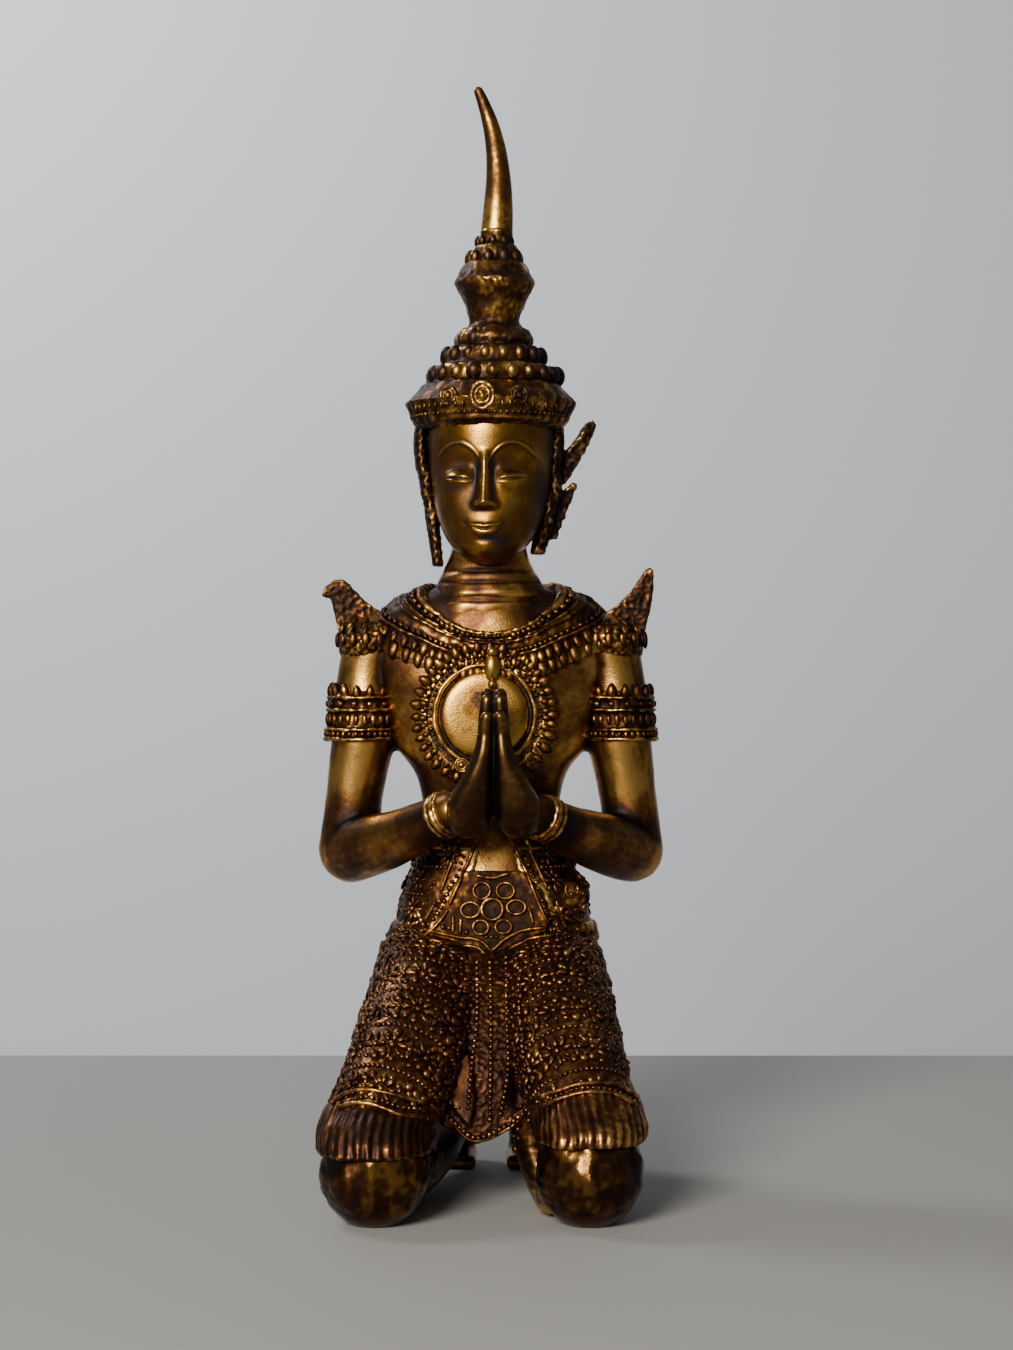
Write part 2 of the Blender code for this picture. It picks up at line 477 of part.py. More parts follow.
def melted(name):
    """One closed casting from all the shapes: melted together, eased, thinned out and cut flat to stand."""
    graph = bpy.context.evaluated_depsgraph_get()
    bm = bmesh.new()
    for piece in PIECES:
        mesh = bpy.data.meshes.new_from_object(piece.evaluated_get(graph))
        mesh.transform(piece.matrix_world)
        bm.from_mesh(mesh)
        bpy.data.meshes.remove(mesh)
    bmesh.ops.remove_doubles(bm, verts=bm.verts, dist=1e-7)
    whole = bpy.data.meshes.new(name)
    bm.to_mesh(whole)
    bm.free()
    for piece in PIECES:
        bpy.data.objects.remove(piece)
    casting = mesh_object(name + "_rough", whole)
    remesh = casting.modifiers.new("melt", "REMESH")
    remesh.mode = "VOXEL"
    remesh.voxel_size = CAST_GRAIN
    ease = casting.modifiers.new("ease", "SMOOTH")
    ease.factor = 0.5
    ease.iterations = 2
    bpy.context.view_layer.update()
    graph = bpy.context.evaluated_depsgraph_get()
    dense = bpy.data.meshes.new_from_object(casting.evaluated_get(graph))
    triangles = 2 * len(dense.polygons)
    casting.modifiers.clear()
    casting.data = dense
    thin = casting.modifiers.new("thin", "DECIMATE")
    thin.ratio = FACE_BUDGET / triangles
    bpy.context.view_layer.update()
    graph = bpy.context.evaluated_depsgraph_get()
    light = bpy.data.meshes.new_from_object(casting.evaluated_get(graph))
    bpy.data.objects.remove(casting)
    standing = mesh_object(name, light)
    return kept_side(standing, (0, 0, 0), (0, 0, 1))


def gilt_bronze():
    material = bpy.data.materials.new("worn_gilt_bronze")
    material.use_nodes = True
    shader = material.node_tree.nodes["Principled BSDF"]
    shader.inputs["Base Color"].default_value = (0.36, 0.19, 0.055, 1)
    shader.inputs["Metallic"].default_value = 0.9
    shader.inputs["Roughness"].default_value = 0.38
    return material


def make_statue():
    for old in list(bpy.data.objects):
        bpy.data.objects.remove(old)
    make_trunk()
    make_pendant()
    make_arms()
    make_hands()
    make_head()
    make_crown()
    make_ears()
    make_shoulder_flames()
    make_belt()
    make_legs()
    make_sash()
    statue = melted("kneeling_figure")
    statue.data.materials.clear()
    statue.data.materials.append(gilt_bronze())
    statue.data.shade_smooth()
    home = bpy.data.collections.new("kneeling_worshipper")
    bpy.context.scene.collection.children.link(home)
    bpy.context.scene.collection.objects.unlink(statue)
    home.objects.link(statue)


make_statue()
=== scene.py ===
"""Looks of a kneeling worshipper, 300 mm tall: bronze cast in one, lacquered red-brown and gilded with leaf.

Shapes are written in millimetres of the figure: X to the viewer's right, the figure faces -Y, Z up.
"""
import math

import bpy
import numpy as np
from mathutils import Euler, Matrix, Vector, noise
from mathutils.bvhtree import BVHTree


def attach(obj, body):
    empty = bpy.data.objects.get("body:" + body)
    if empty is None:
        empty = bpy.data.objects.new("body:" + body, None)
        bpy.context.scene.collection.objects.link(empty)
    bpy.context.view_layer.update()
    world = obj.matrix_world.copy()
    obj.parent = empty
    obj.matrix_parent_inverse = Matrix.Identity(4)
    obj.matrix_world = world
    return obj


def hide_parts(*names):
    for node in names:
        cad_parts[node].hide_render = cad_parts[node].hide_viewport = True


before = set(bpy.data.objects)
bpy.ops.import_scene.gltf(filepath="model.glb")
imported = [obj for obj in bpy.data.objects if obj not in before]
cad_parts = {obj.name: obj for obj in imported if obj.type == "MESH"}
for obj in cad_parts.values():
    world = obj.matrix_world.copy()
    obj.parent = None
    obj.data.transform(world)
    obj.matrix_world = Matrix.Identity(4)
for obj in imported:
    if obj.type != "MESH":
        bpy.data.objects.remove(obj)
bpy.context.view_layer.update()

# ---- Trunk and arms ------------------------------------------------------------------------------------
# The bare body of the figure, cast in bronze over a clay core: a slim trunk, long arms bent to the front.
# The whole surface was lacquered red-brown and laid with gold leaf, which has worn off the low places.
MM = 0.001
DEPTH_SHIFT = 21.7  # the figure's axis lies this far behind the middle of its footprint

TRUNK = [  # z, centre x and y, half width, half depth, squareness
    (58, 0.2, 4, 27.8, 19.2, 2.2), (64, 0.5, 3, 28.2, 19.5, 2.3), (70, 0.8, 2, 26.2, 18.0, 2.3),
    (76, 0.7, 0.5, 24.6, 16.4, 2.3), (82, 0.7, -0.5, 23.0, 14.8, 2.3), (90, 0.5, -1, 20.0, 12.6, 2.2),
    (97, 0, -1, 18.2, 11.6, 2.2), (105, 0, -1, 19.0, 12.0, 2.2), (112, 0, -1, 21.0, 12.8, 2.2),
    (119, 0, -0.5, 26.4, 13.6, 2.4), (128, 0, 0, 29.6, 14.6, 2.4), (138, 0, 0, 31.5, 14.6, 2.5),
    (146, 0, 0.5, 33.2, 13.4, 2.5), (152, 0, 1, 31.6, 11.8, 2.4), (157, 0.4, 1, 26.6, 10.2, 2.3),
    (160.5, 0.4, 1, 20.0, 9.0, 2.2), (163, 0, 1, 14.0, 8.6, 2.0),
]
NECK = [(149, 0, -0.4, 25.0, 12.6, 2), (153, 0, -0.4, 21.6, 12.0, 2), (157, 0, -0.2, 18.4, 11.2, 2),
        (160.6, 0, 0, 15.9, 10.4, 2), (164.3, -0.4, 0.3, 14.0, 9.8, 2), (167.4, -0.6, 0.5, 12.3, 9.3, 2),
        (170.4, -0.6, 0.7, 11.0, 8.9, 2), (176, -0.4, 1, 10.0, 9, 2), (182, 0, 1, 10, 10, 2)]
UPPER_ARM = [  # x, y, z, radius
    (32.0, 0.5, 147.0, 8.6), (34.0, 0.5, 138.0, 8.3), (35.0, 0.5, 127.0, 8.7), (35.3, 0.7, 120.0, 8.8),
    (37.0, 0.9, 110.0, 8.2), (38.1, 1.0, 101.5, 8.0), (38.6, 0.6, 90.2, 8.9),
]
FOREARM = [
    (38.6, 0.6, 90.2, 8.9), (33.0, -7.5, 91.8, 8.4), (24.5, -17.0, 95.1, 7.4), (18.0, -24.2, 98.4, 6.4),
    (14.0, -28.3, 100.8, 5.7), (10.4, -31.2, 102.4, 5.4),
]


def row_frame(points):
    return (np.asarray(points, float) + (0, DEPTH_SHIFT, 0)) * MM


def figure_frame(points):
    return np.asarray(points, float) / MM - (0, DEPTH_SHIFT, 0)


def through(rows, steps):
    """Rows of numbers resampled along a smooth curve that passes through every one of them."""
    rows = np.array(rows, float)
    padded = np.vstack([2 * rows[0] - rows[1], rows, 2 * rows[-1] - rows[-2]])
    made = []
    for i in range(len(rows) - 1):
        a, b, c, d = padded[i:i + 4]
        for k in range(steps):
            t = k / steps
            made.append(0.5 * (2 * b + (c - a) * t + (2 * a - 5 * b + 4 * c - d) * t ** 2
                               + (3 * b - a - 3 * c + d) * t ** 3))
    made.append(rows[-1])
    return np.array(made)


def stacked(rings):
    """Points and faces of a closed body through rings that run anticlockwise round the way they stack."""
    count, sides = len(rings), len(rings[0])
    index = np.arange(count * sides).reshape(count, sides)
    beside = np.roll(index, -1, axis=1)
    quads = np.stack([index[:-1], beside[:-1], beside[1:], index[1:]], -1).reshape(-1, 4)
    return np.vstack(rings), quads.tolist() + [index[0][::-1].tolist(), index[-1].tolist()]


def full_turn(sides):
    return 2 * math.pi * np.arange(sides) / sides


def oval(angle, square):
    """A circle of radius 1 at 2, and squarer above that."""
    circle = np.stack([np.cos(angle), np.sin(angle)], 1)
    return np.sign(circle) * np.abs(circle) ** (2 / square)


def column(levels, steps=4, sides=64, flutes=0, flute_depth=0.0):
    """A body of level ovals through rows of z, centre x and y, half width, half depth and squareness."""
    angle = full_turn(sides)
    wave = 1 + flute_depth * np.cos(flutes * angle)[:, None]
    return stacked([np.column_stack([oval(angle, square) * (half_width, half_depth) * wave + (cx, cy),
                                     np.full(sides, z)])
                    for z, cx, cy, half_width, half_depth, square in through(levels, steps)])


def unit(way):
    return np.array(way, float) / np.linalg.norm(way)


def on_side(rows, side):
    """Rows that begin with x, given for the viewer's right (1), or mirrored to the left (-1)."""
    return [(row[0] * side, *row[1:]) for row in rows]


def limb(stations, steps=5, sides=20):
    """A round limb with domed ends through stations of x, y, z and radius."""
    rows = through(stations, steps) if steps > 1 else np.array(stations, float)
    path, radii = rows[:, :3], rows[:, 3]
    ways = np.gradient(path, axis=0)
    ways /= np.linalg.norm(ways, axis=1)[:, None]
    dome = np.radians([78, 52, 26])
    centres = [path[0] - ways[0] * radii[0] * math.sin(a) for a in dome]
    sizes = [radii[0] * math.cos(a) for a in dome]
    turns = [ways[0]] * 3 + list(ways) + [ways[-1]] * 3
    centres += list(path) + [path[-1] + ways[-1] * radii[-1] * math.sin(a) for a in dome[::-1]]
    sizes += list(radii) + [radii[-1] * math.cos(a) for a in dome[::-1]]
    angle = full_turn(sides)
    side = np.cross(ways[0], (0.3, 0.2, 0.9) if abs(ways[0][2]) < 0.9 else (1.0, 0.2, 0))
    rings = []
    for centre, size, way in zip(centres, sizes, turns):
        side = unit(side - way * side.dot(way))
        up = np.cross(way, side)
        rings.append(centre + size * (np.outer(np.cos(angle), side) + np.outer(np.sin(angle), up)))
    return stacked(rings)


def ball(centre, radii, turn=(0, 0, 0), sides=20):
    """An ellipsoid leaning by degrees about x, y and z."""
    heights = np.radians(np.linspace(-84, 84, sides // 2))
    points, faces = stacked([np.column_stack([math.cos(h) * oval(full_turn(sides), 2),
                                              np.full(sides, math.sin(h))]) for h in heights])
    leaning = np.array(Euler([math.radians(a) for a in turn]).to_matrix())
    return (points * radii) @ leaning.T + centre, faces


def joined(shapes):
    """Several shapes of points and faces as one, in metres."""
    points, faces, first = [], [], 0
    for shape_points, shape_faces in shapes:
        points.append(shape_points)
        faces += [[first + i for i in face] for face in shape_faces]
        first += len(shape_points)
    return row_frame(np.vstack(points)).tolist(), faces


def mesh_object(name, points, faces=()):
    mesh = bpy.data.meshes.new(name)
    mesh.from_pydata(points, [], faces)
    obj = bpy.data.objects.new(name, mesh)
    bpy.context.scene.collection.objects.link(obj)
    return obj


def shape_object(name, shapes):
    obj = mesh_object(name, *joined(shapes))
    obj.data.shade_smooth()
    return obj


def settled(obj):
    """Turns what the object's modifiers make into its own plain mesh."""
    bpy.context.view_layer.update()
    done = bpy.data.meshes.new_from_object(obj.evaluated_get(bpy.context.evaluated_depsgraph_get()))
    obj.modifiers.clear()
    obj.data = done
    done.shade_smooth()
    return obj


def melted(name, shapes, grain, ease=4):
    """Overlapping shapes run together into one skin, as wax does under a warm tool."""
    obj = shape_object(name, shapes)
    melt = obj.modifiers.new("melt", "REMESH")
    melt.mode = "VOXEL"
    melt.voxel_size = grain * MM
    soften = obj.modifiers.new("soften", "SMOOTH")
    soften.iterations = ease
    return settled(obj)


def read_points(mesh, kind="co"):
    values = np.empty(3 * len(mesh.vertices), np.float32)
    mesh.vertices.foreach_get(kind, values)
    return values.reshape(-1, 3).astype(float)


def raise_relief(obj, height_at):
    """Moves each point out along its normal by height_at(points in figure millimetres), in millimetres."""
    mesh = obj.data
    points, normals = read_points(mesh), read_points(mesh, "normal")
    heights = height_at(figure_frame(points))
    mesh.vertices.foreach_set("co", (points + normals * heights[:, None] * MM).ravel())
    mesh.update()
    return obj


def uneven(size, height, seed=0):
    """Gentle waves of the hand-shaped wax: their size and height in millimetres."""
    def heights(points):
        offset = Vector((seed * 3.7, seed * 1.3, 0))
        return height * np.array([noise.noise(Vector(p) / size + offset) for p in points])
    return heights


def mark_hollows(obj, spans):
    """Stores how deep each point lies beside its neighbours as a point attribute: 0 proud, 0.5 flat, 1 deep.
    Painted shade and painted highlights are added to it later. A span is how many edges away the neighbours
    lie and the depth in millimetres that counts in full."""
    mesh = obj.data
    points, normals = read_points(mesh), read_points(mesh, "normal")
    ends = np.empty(2 * len(mesh.edges), np.int32)
    mesh.edges.foreach_get("vertices", ends)
    a, b, count = ends[0::2], ends[1::2], len(points)
    degree = np.maximum(np.bincount(a, minlength=count) + np.bincount(b, minlength=count), 1)
    value, eased, done = np.full(count, 0.5), points.copy(), 0
    for turns, depth in spans:
        for _ in range(turns - done):
            eased = np.stack([np.bincount(a, eased[b, k], count) + np.bincount(b, eased[a, k], count)
                              for k in range(3)], 1) / degree[:, None]
        done = turns
        value += np.clip(((eased - points) * normals).sum(1) / (depth * MM), -1, 1) * 0.25
    layer = mesh.attributes.new("hollow_and_painted_light", "FLOAT", "POINT")
    layer.data.foreach_set("value", np.clip(value, 0, 1).astype(np.float32))
    return obj


def rub_and_paint_light(obj, spots):
    """Darker (above 0) or lighter (below 0) round spots of x, y, z, reach in mm and amount: rubbed leaf,
    painted shade and painted highlights.
    """
    values = np.empty(len(obj.data.vertices), np.float32)
    layer = obj.data.attributes["hollow_and_painted_light"].data
    layer.foreach_get("value", values)
    points = figure_frame(read_points(obj.data))
    for x, y, z, reach, amount in spots:
        away = np.linalg.norm(points - (x, y, z), axis=1) / reach
        values += amount * np.clip(1.5 - 1.5 * away, 0, 1)
    layer.foreach_set("value", np.clip(values, 0, 1))
    return obj


def colour(code):
    """An sRGB hex colour as linear numbers."""
    parts = [int(code[k:k + 2], 16) / 255 for k in (1, 3, 5)]
    return (*[p / 12.92 if p <= 0.04045 else ((p + 0.055) / 1.055) ** 2.4 for p in parts], 1)


def add(tree, kind, inputs=None, stops=(), **settings):
    """Adds a node from socket values or sockets, a ramp's colours and the node's own properties."""
    made = tree.nodes.new(kind)
    for name, value in settings.items():
        setattr(made, name, value)
    for socket, value in (inputs or {}).items():
        if isinstance(value, bpy.types.NodeSocket):
            tree.links.new(value, made.inputs[socket])
        else:
            made.inputs[socket].default_value = value
    for number, (place, code) in enumerate(stops):
        bar = made.color_ramp.elements
        stop = bar[number] if number < 2 else bar.new(place)
        stop.position, stop.color = place, colour(code)
    return made


def gilt(name, tones, leaf, patch=2.2, speck=1.3, proud=1.1, shine=(0.62, 0.3), metal=(0.55, 1.0), grain=0.5):
    """Worn gilding over lacquered bronze. Tones run from the grime in the hollows to whole leaf, and leaf is
    how much of it is left, from 0 to 1. Patch, speck and proud are how far broad patches, small flecks and
    the height of the relief change that. Leaf is smoother and more metallic than lacquer and grime."""
    material = bpy.data.materials.new(name)
    material.use_nodes = True
    tree = material.node_tree
    shader = tree.nodes["Principled BSDF"]
    place = add(tree, "ShaderNodeTexCoord").outputs["Object"]
    broad = add(tree, "ShaderNodeTexNoise", {"Vector": place, "Scale": 1 / (11 * MM), "Detail": 3.0})
    flecks = add(tree, "ShaderNodeTexNoise", {"Vector": place, "Scale": 1 / (1.8 * MM), "Detail": 4.0,
                                              "Roughness": 0.65})
    # This attribute holds the hollows together with the painted shade and painted highlights of the spot
    # lists.
    hollow_and_painted_light = add(tree, "ShaderNodeAttribute", attribute_name="hollow_and_painted_light")
    start = leaf - 0.5 * (patch + speck) + 0.5 * proud
    leaf_and_painted_light = add(tree, "ShaderNodeMath", {0: broad.outputs["Fac"], 1: patch, 2: start},
               operation="MULTIPLY_ADD")
    leaf_and_painted_light = add(tree, "ShaderNodeMath", {0: flecks.outputs["Fac"], 1: speck, 2: leaf_and_painted_light.outputs[0]},
               operation="MULTIPLY_ADD")
    leaf_and_painted_light = add(tree, "ShaderNodeMath", {0: hollow_and_painted_light.outputs["Fac"], 1: -proud, 2: leaf_and_painted_light.outputs[0]},
               operation="MULTIPLY_ADD", use_clamp=True)
    tint = add(tree, "ShaderNodeValToRGB", {"Fac": leaf_and_painted_light.outputs[0]}, stops=tones)
    gloss = add(tree, "ShaderNodeMapRange", {"Value": leaf_and_painted_light.outputs[0], "From Min": 0.25, "From Max": 0.85,
                                             "To Min": shine[0], "To Max": shine[1]})
    ground = add(tree, "ShaderNodeMapRange", {"Value": leaf_and_painted_light.outputs[0], "From Min": 0.1, "From Max": 0.6,
                                              "To Min": metal[0], "To Max": metal[1]})
    pits = add(tree, "ShaderNodeTexNoise", {"Vector": place, "Scale": 1 / (0.55 * MM), "Detail": 3.0})
    bump = add(tree, "ShaderNodeBump", {"Strength": grain, "Distance": 0.12 * MM,
                                        "Height": pits.outputs["Fac"]})
    tree.links.new(tint.outputs["Color"], shader.inputs["Base Color"])
    tree.links.new(gloss.outputs["Result"], shader.inputs["Roughness"])
    tree.links.new(ground.outputs["Result"], shader.inputs["Metallic"])
    tree.links.new(bump.outputs["Normal"], shader.inputs["Normal"])
    return material


def wear_piece(obj, material):
    """Gives a piece its material and ties it to the casting."""
    obj.data.materials.clear()
    obj.data.materials.append(material)
    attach(obj, "root")
    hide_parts("kneeling_figure")
    return obj


def finish(obj, material, relief=None, spans=((3, 0.07), (12, 0.3)), wear_and_light_spots=()):
    """Relief, hollows, and spots of rubbed leaf, painted shade and painted highlights of a cast piece, and
    then its gilding.
    """
    if relief:
        raise_relief(obj, relief)
    mark_hollows(obj, spans)
    rub_and_paint_light(obj, wear_and_light_spots)
    return wear_piece(obj, material)


# Skin: leaf rubbed to a brown-gold, with the red-brown lacquer showing in soft patches.
SKIN_TONES = [(0.0, "#170D09"), (0.28, "#351E11"), (0.5, "#58371D"), (0.74, "#8B602D"), (1.0, "#C3924A")]
skin_gilding = gilt("gold_leaf_rubbed_thin_over_lacquer", SKIN_TONES, leaf=0.58, patch=1.5, speck=0.6,
                    shine=(0.46, 0.28), metal=(0.86, 1.0))
# Painted shade on the forearms and the upper chest, and painted highlights down the upper arms, as spots of
# the leaf tones.
ARM_SHADE_AND_HIGHLIGHTS = [(27, -14, 94, 26, 0.34), (13, -29, 102, 14, 0.9), (16, -14, 141, 16, 0.35),
             (0, -14, 104, 18, 0.12), (19, -8, 112, 14, 0.05), (34, -9, 136, 7, -0.35),
             (35.5, -8, 112, 11, -0.3)]
# Painted shade on the sides and the top of the neck and under the chin.
PAINTED_SHADE_ON_NECK = [(0, -9, 169, 8, 0.5), (-15, -4, 157, 10, 0.6), (16, -4, 157, 11, 0.7), (0, -11, 159.2, 5, 0.1),
             (9, -9, 155, 6, 0.35), (-1, -12, 153, 7, 0.06)]
# Painted shade on the right forearm.
PAINTED_SHADE_ON_RIGHT_FOREARM = (24, -16, 96, 18, 0.25)
# A painted highlight on the belly, which the hands and forearms shade.
PAINTED_HIGHLIGHT_ON_BELLY = (1.7, -14, 92.5, 6.0, -0.45)
KEPT_CHEST = (20, -14, 136, 13, -0.3)

body_shapes = [column(TRUNK, sides=80),
               column([(z, cx, cy, w - 0.4, d - 0.4, s) for z, cx, cy, w, d, s in NECK])]
for side in (-1, 1):
    body_shapes += [
        limb(on_side(UPPER_ARM, side)), limb(on_side(FOREARM, side)),
        ball((10.5 * side, -8.5, 130), (10, 6.5, 9)),
        ball((9.5 * side, 8.4, 138), (11, 6.8, 14)),
    ]
body = finish(melted("bare_trunk_and_arms", body_shapes, grain=0.8, ease=6), skin_gilding, uneven(8, 0.25),
              wear_and_light_spots=[PAINTED_HIGHLIGHT_ON_BELLY, KEPT_CHEST, PAINTED_SHADE_ON_RIGHT_FOREARM] + PAINTED_SHADE_ON_NECK
              + on_side(ARM_SHADE_AND_HIGHLIGHTS, -1) + ARM_SHADE_AND_HIGHLIGHTS)

# ---- Hands ---------------------------------------------------------------------------------------------
# The palms are pressed together and raised, cast with the arms, and touched so often that the leaf is gone:
# dark bronze with a thin brown skin of lacquer, glossy at the finger ends.
PALM = [
    (95.6, 6.9, -32.4, 1.8, 2.6, 2), (97, 6.9, -32.6, 4.2, 5.0, 2), (100, 6.7, -33.2, 5.9, 6.4, 2.1),
    (104, 6.3, -34.2, 6.2, 7.2, 2.2), (107.5, 5.5, -35.0, 5.6, 7.5, 2.3), (110, 4.7, -35.5, 4.8, 7.6, 2.4),
    (112.5, 4.0, -36.0, 4.1, 7.5, 2.5), (115.5, 3.2, -36.4, 3.3, 7.2, 2.5), (119, 2.5, -36.6, 2.6, 6.9, 2.5),
    (123, 2.1, -36.8, 2.2, 6.2, 2.5),
]
FINGERS = [(-42.0, 127.6, 1.9), (-38.8, 131.8, 2.1), (-35.2, 133.2, 2.15), (-31.8, 130.4, 2.0)]
THUMB = [(5.4, -29.0, 107, 2.4), (3.2, -27.6, 114, 2.2), (2.2, -27.4, 119.5, 1.9)]
SEAM_X = 0.9

hand_shapes = []
for side in (-1, 1):
    hand_shapes.append(column([(z, SEAM_X + x * side, *rest) for z, x, *rest in PALM], sides=32))
    for y, tip, radius in FINGERS:
        root = (SEAM_X + 2.4 * side, y * 0.62 - 13.6, 116.0, radius * 1.05)
        bend = (SEAM_X + 2.1 * side, y * 0.9 - 3.6, 125.0, radius * 0.98)
        hand_shapes.append(limb([root, bend, (SEAM_X + 1.7 * side, y, tip, radius * 0.86)], sides=20))
    hand_shapes.append(limb([(SEAM_X + x * side, y, z, r) for x, y, z, r in THUMB], sides=16))
HAND_TONES = [(0.0, "#100B08"), (0.35, "#281A10"), (0.6, "#422C18"), (0.85, "#634726"), (1.0, "#8A6D38")]
# Bare metal: dark brown and glossy.
hand_metal = gilt("bare_bronze_dark_from_touch", HAND_TONES, leaf=0.42, patch=1.0, speck=0.6,
                  shine=(0.5, 0.3), metal=(0.85, 1.0), grain=0.3)
finish(melted("joined_hands", hand_shapes, grain=0.37, ease=6), hand_metal, spans=((8, 0.12), (24, 0.5)))

# ---- Head and neck -------------------------------------------------------------------------------------
# A smooth oval head on a neck with three folds, turned a little to the viewer's left. The face is a calm one
# of the classical school: arched brows that run into the nose, lowered lids, a slim nose, a faint smile.
HEAD_TURN = -5  # degrees about the upright axis
NECK_CREASES = [(159.2, 1.1, 0.7), (163.7, 0.3, 0.6), (166.8, 0.3, 0.6)]  # z, depth, half height
SKULL = [
    (168.2, 0, -8.8, 1.6, 2.2, 2), (168.9, 0, -8.5, 4.0, 4.8, 2), (170.4, 0, -7.6, 6.8, 7.6, 2),
    (173.6, 0, -5.6, 10.4, 11.6, 2.1), (178.5, 0, -3.2, 13.2, 15.0, 2.1), (185, 0, -1.4, 15.2, 17.0, 2.1),
    (192, 0, -0.4, 16.3, 17.8, 2.1), (199, 0, 0, 17.0, 18.2, 2.1), (206, 0, 0.2, 17.2, 18.4, 2.1),
    (213, 0, 0.4, 16.2, 17.4, 2),
]
BROW = through([(0.5, 193.6), (1.4, 196.4), (3.6, 199.4), (6.8, 201.0), (10.2, 200.3), (14.0, 197.2)], 6)


def smooth(low, high, value):
    t = np.clip((value - low) / (high - low), 0, 1)
    return t * t * (3 - 2 * t)


def face_height(x, z):
    """How far the features stand out of the smooth oval, x across from the nose and z up."""
    s = np.abs(x)

    def hill(across, up, wide, tall):
        return np.exp(-((s - across) / wide) ** 2 - ((z - up) / tall) ** 2)

    def crest(line, width):
        return np.exp(-((z - line) / width) ** 2)

    h = 1.0 * hill(8.8, 184.6, 4.6, 5.6) + 1.2 * hill(0, 171.8, 4.4, 2.6) - 0.3 * hill(0, 174.9, 3.4, 0.9)
    h -= 1.2 * hill(6.6, 195.4, 4.4, 2.6) + 0.8 * hill(2.7, 192.6, 1.3, 2.8)
    brow = np.interp(s, BROW[:, 0], BROW[:, 1])
    span = smooth(0.4, 1.2, s) * smooth(14.6, 11.0, s)
    h += 0.42 * crest(brow, 0.42) * span + 0.45 * smooth(-1.4, 1.6, z - brow) * smooth(16, 12, s)
    across = np.clip((s - 3.3) / 7.6, 0, 1)
    arch = np.sin(math.pi * across ** 0.85)
    line = 190.7 + 0.9 * across
    h += 1.25 * hill(7.0, 191.4, 3.9, 2.2)
    upper, lower = line + 0.62 * arch, line - 0.42 * arch
    h += 0.36 * arch ** 0.5 * smooth(-0.15, 0.15, z - upper) * np.exp(-(np.maximum(z - upper, 0) / 1.5) ** 2)
    h -= 0.3 * smooth(-0.1, 0.2, upper - z) * smooth(-0.1, 0.2, z - lower) * smooth(0.05, 0.4, arch)
    h += (0.14 * crest(lower - 0.3, 0.3) - 0.16 * crest(line + 2.2 * arch + 0.5, 0.32)) * arch ** 0.5
    down = np.clip((197.5 - z) / 14.0, 0, 1)
    nose = np.exp(-(s / (1.15 + 0.95 * down ** 1.6)) ** 2.2) * (1.2 + 3.1 * down ** 1.4)
    h += nose * smooth(182.3, 184.9, z) * smooth(200.0, 195.5, z)
    h += 1.0 * hill(2.2, 184.2, 1.0, 1.0)
    h += 1.0 * hill(0, 178.2, 5.6, 3.8)
    mouth = 177.8 + 0.05 * s ** 2
    upper_lip = np.clip(1 - (s / 4.7) ** 2, 0, 1)
    lower_lip = np.clip(1 - (s / 3.8) ** 2, 0, 1)
    bow = 0.25 * np.exp(-(s / 0.7) ** 2)
    h += 0.65 * crest(mouth + 0.75 * upper_lip - bow, 0.62) * upper_lip ** 0.6
    h += 0.8 * crest(mouth - 1.15 * lower_lip, 0.9) * lower_lip ** 0.7
    h -= 0.4 * crest(mouth, 0.28) * np.clip(1 - (s / 5.1) ** 2, 0, 1) ** 0.6
    return h - 0.25 * hill(5.2, 179.3, 0.9, 0.9)


def head_surface(sides=230, level=0.24):
    """Rings round the head, closest together over the face, which is raised out of them."""
    levels = np.array(SKULL, float)
    heights = np.arange(levels[0, 0], levels[-1, 0], level)
    fine = through(SKULL, 12)
    turn = full_turn(sides)
    angle = turn - 0.42 * np.sin(turn) - math.pi / 2
    rings = []
    for z in heights:
        cx, cy, w, d, square = (np.interp(z, fine[:, 0], fine[:, k]) for k in range(1, 6))
        ring = oval(angle, square)
        out = ring / (w, d)
        out /= np.linalg.norm(out, axis=1)[:, None]
        flat = ring * (w, d) + (cx, cy)
        rise = face_height(flat[:, 0], np.full(sides, z)) * smooth(0.05, 0.4, -ring[:, 1])
        rings.append(np.column_stack([flat + out * rise[:, None], np.full(sides, z)]))
    return stacked(rings)


HEAD_WAY = np.array(Matrix.Rotation(math.radians(HEAD_TURN), 3, "Z"))


def turned_head(shape):
    points, faces = shape
    return points @ HEAD_WAY.T, faces


FACE_TONES = [(0.0, "#120A06"), (0.25, "#341F0D"), (0.48, "#583815"), (0.74, "#805820"), (1.0, "#AB7F36")]
# Burnished leaf: smooth and golden, and browner where it is rubbed through.
face_gilding = gilt("gold_leaf_burnished_on_the_face", FACE_TONES, leaf=0.66, patch=1.4, speck=0.5, proud=1.2,
                    shine=(0.5, 0.27), grain=0.3)
# Painted shade on the cheeks, the left temple, the nose tip and the chin, and a painted highlight on the
# forehead.
PAINTED_LIGHT_ON_FACE = [(-6, -17, 188, 9, 0.22), (14, -10, 184, 12, 0.35), (-2, -17, 203, 7, -0.25),
             (2, -14, 172, 7, 0.35), (-14, -8, 196, 7, 0.3), (-2, -20, 186, 4, 0.25)]
finish(shape_object("head_with_a_calm_face", [turned_head(head_surface())]), face_gilding,
       spans=((4, 0.05), (24, 0.45)), wear_and_light_spots=PAINTED_LIGHT_ON_FACE)


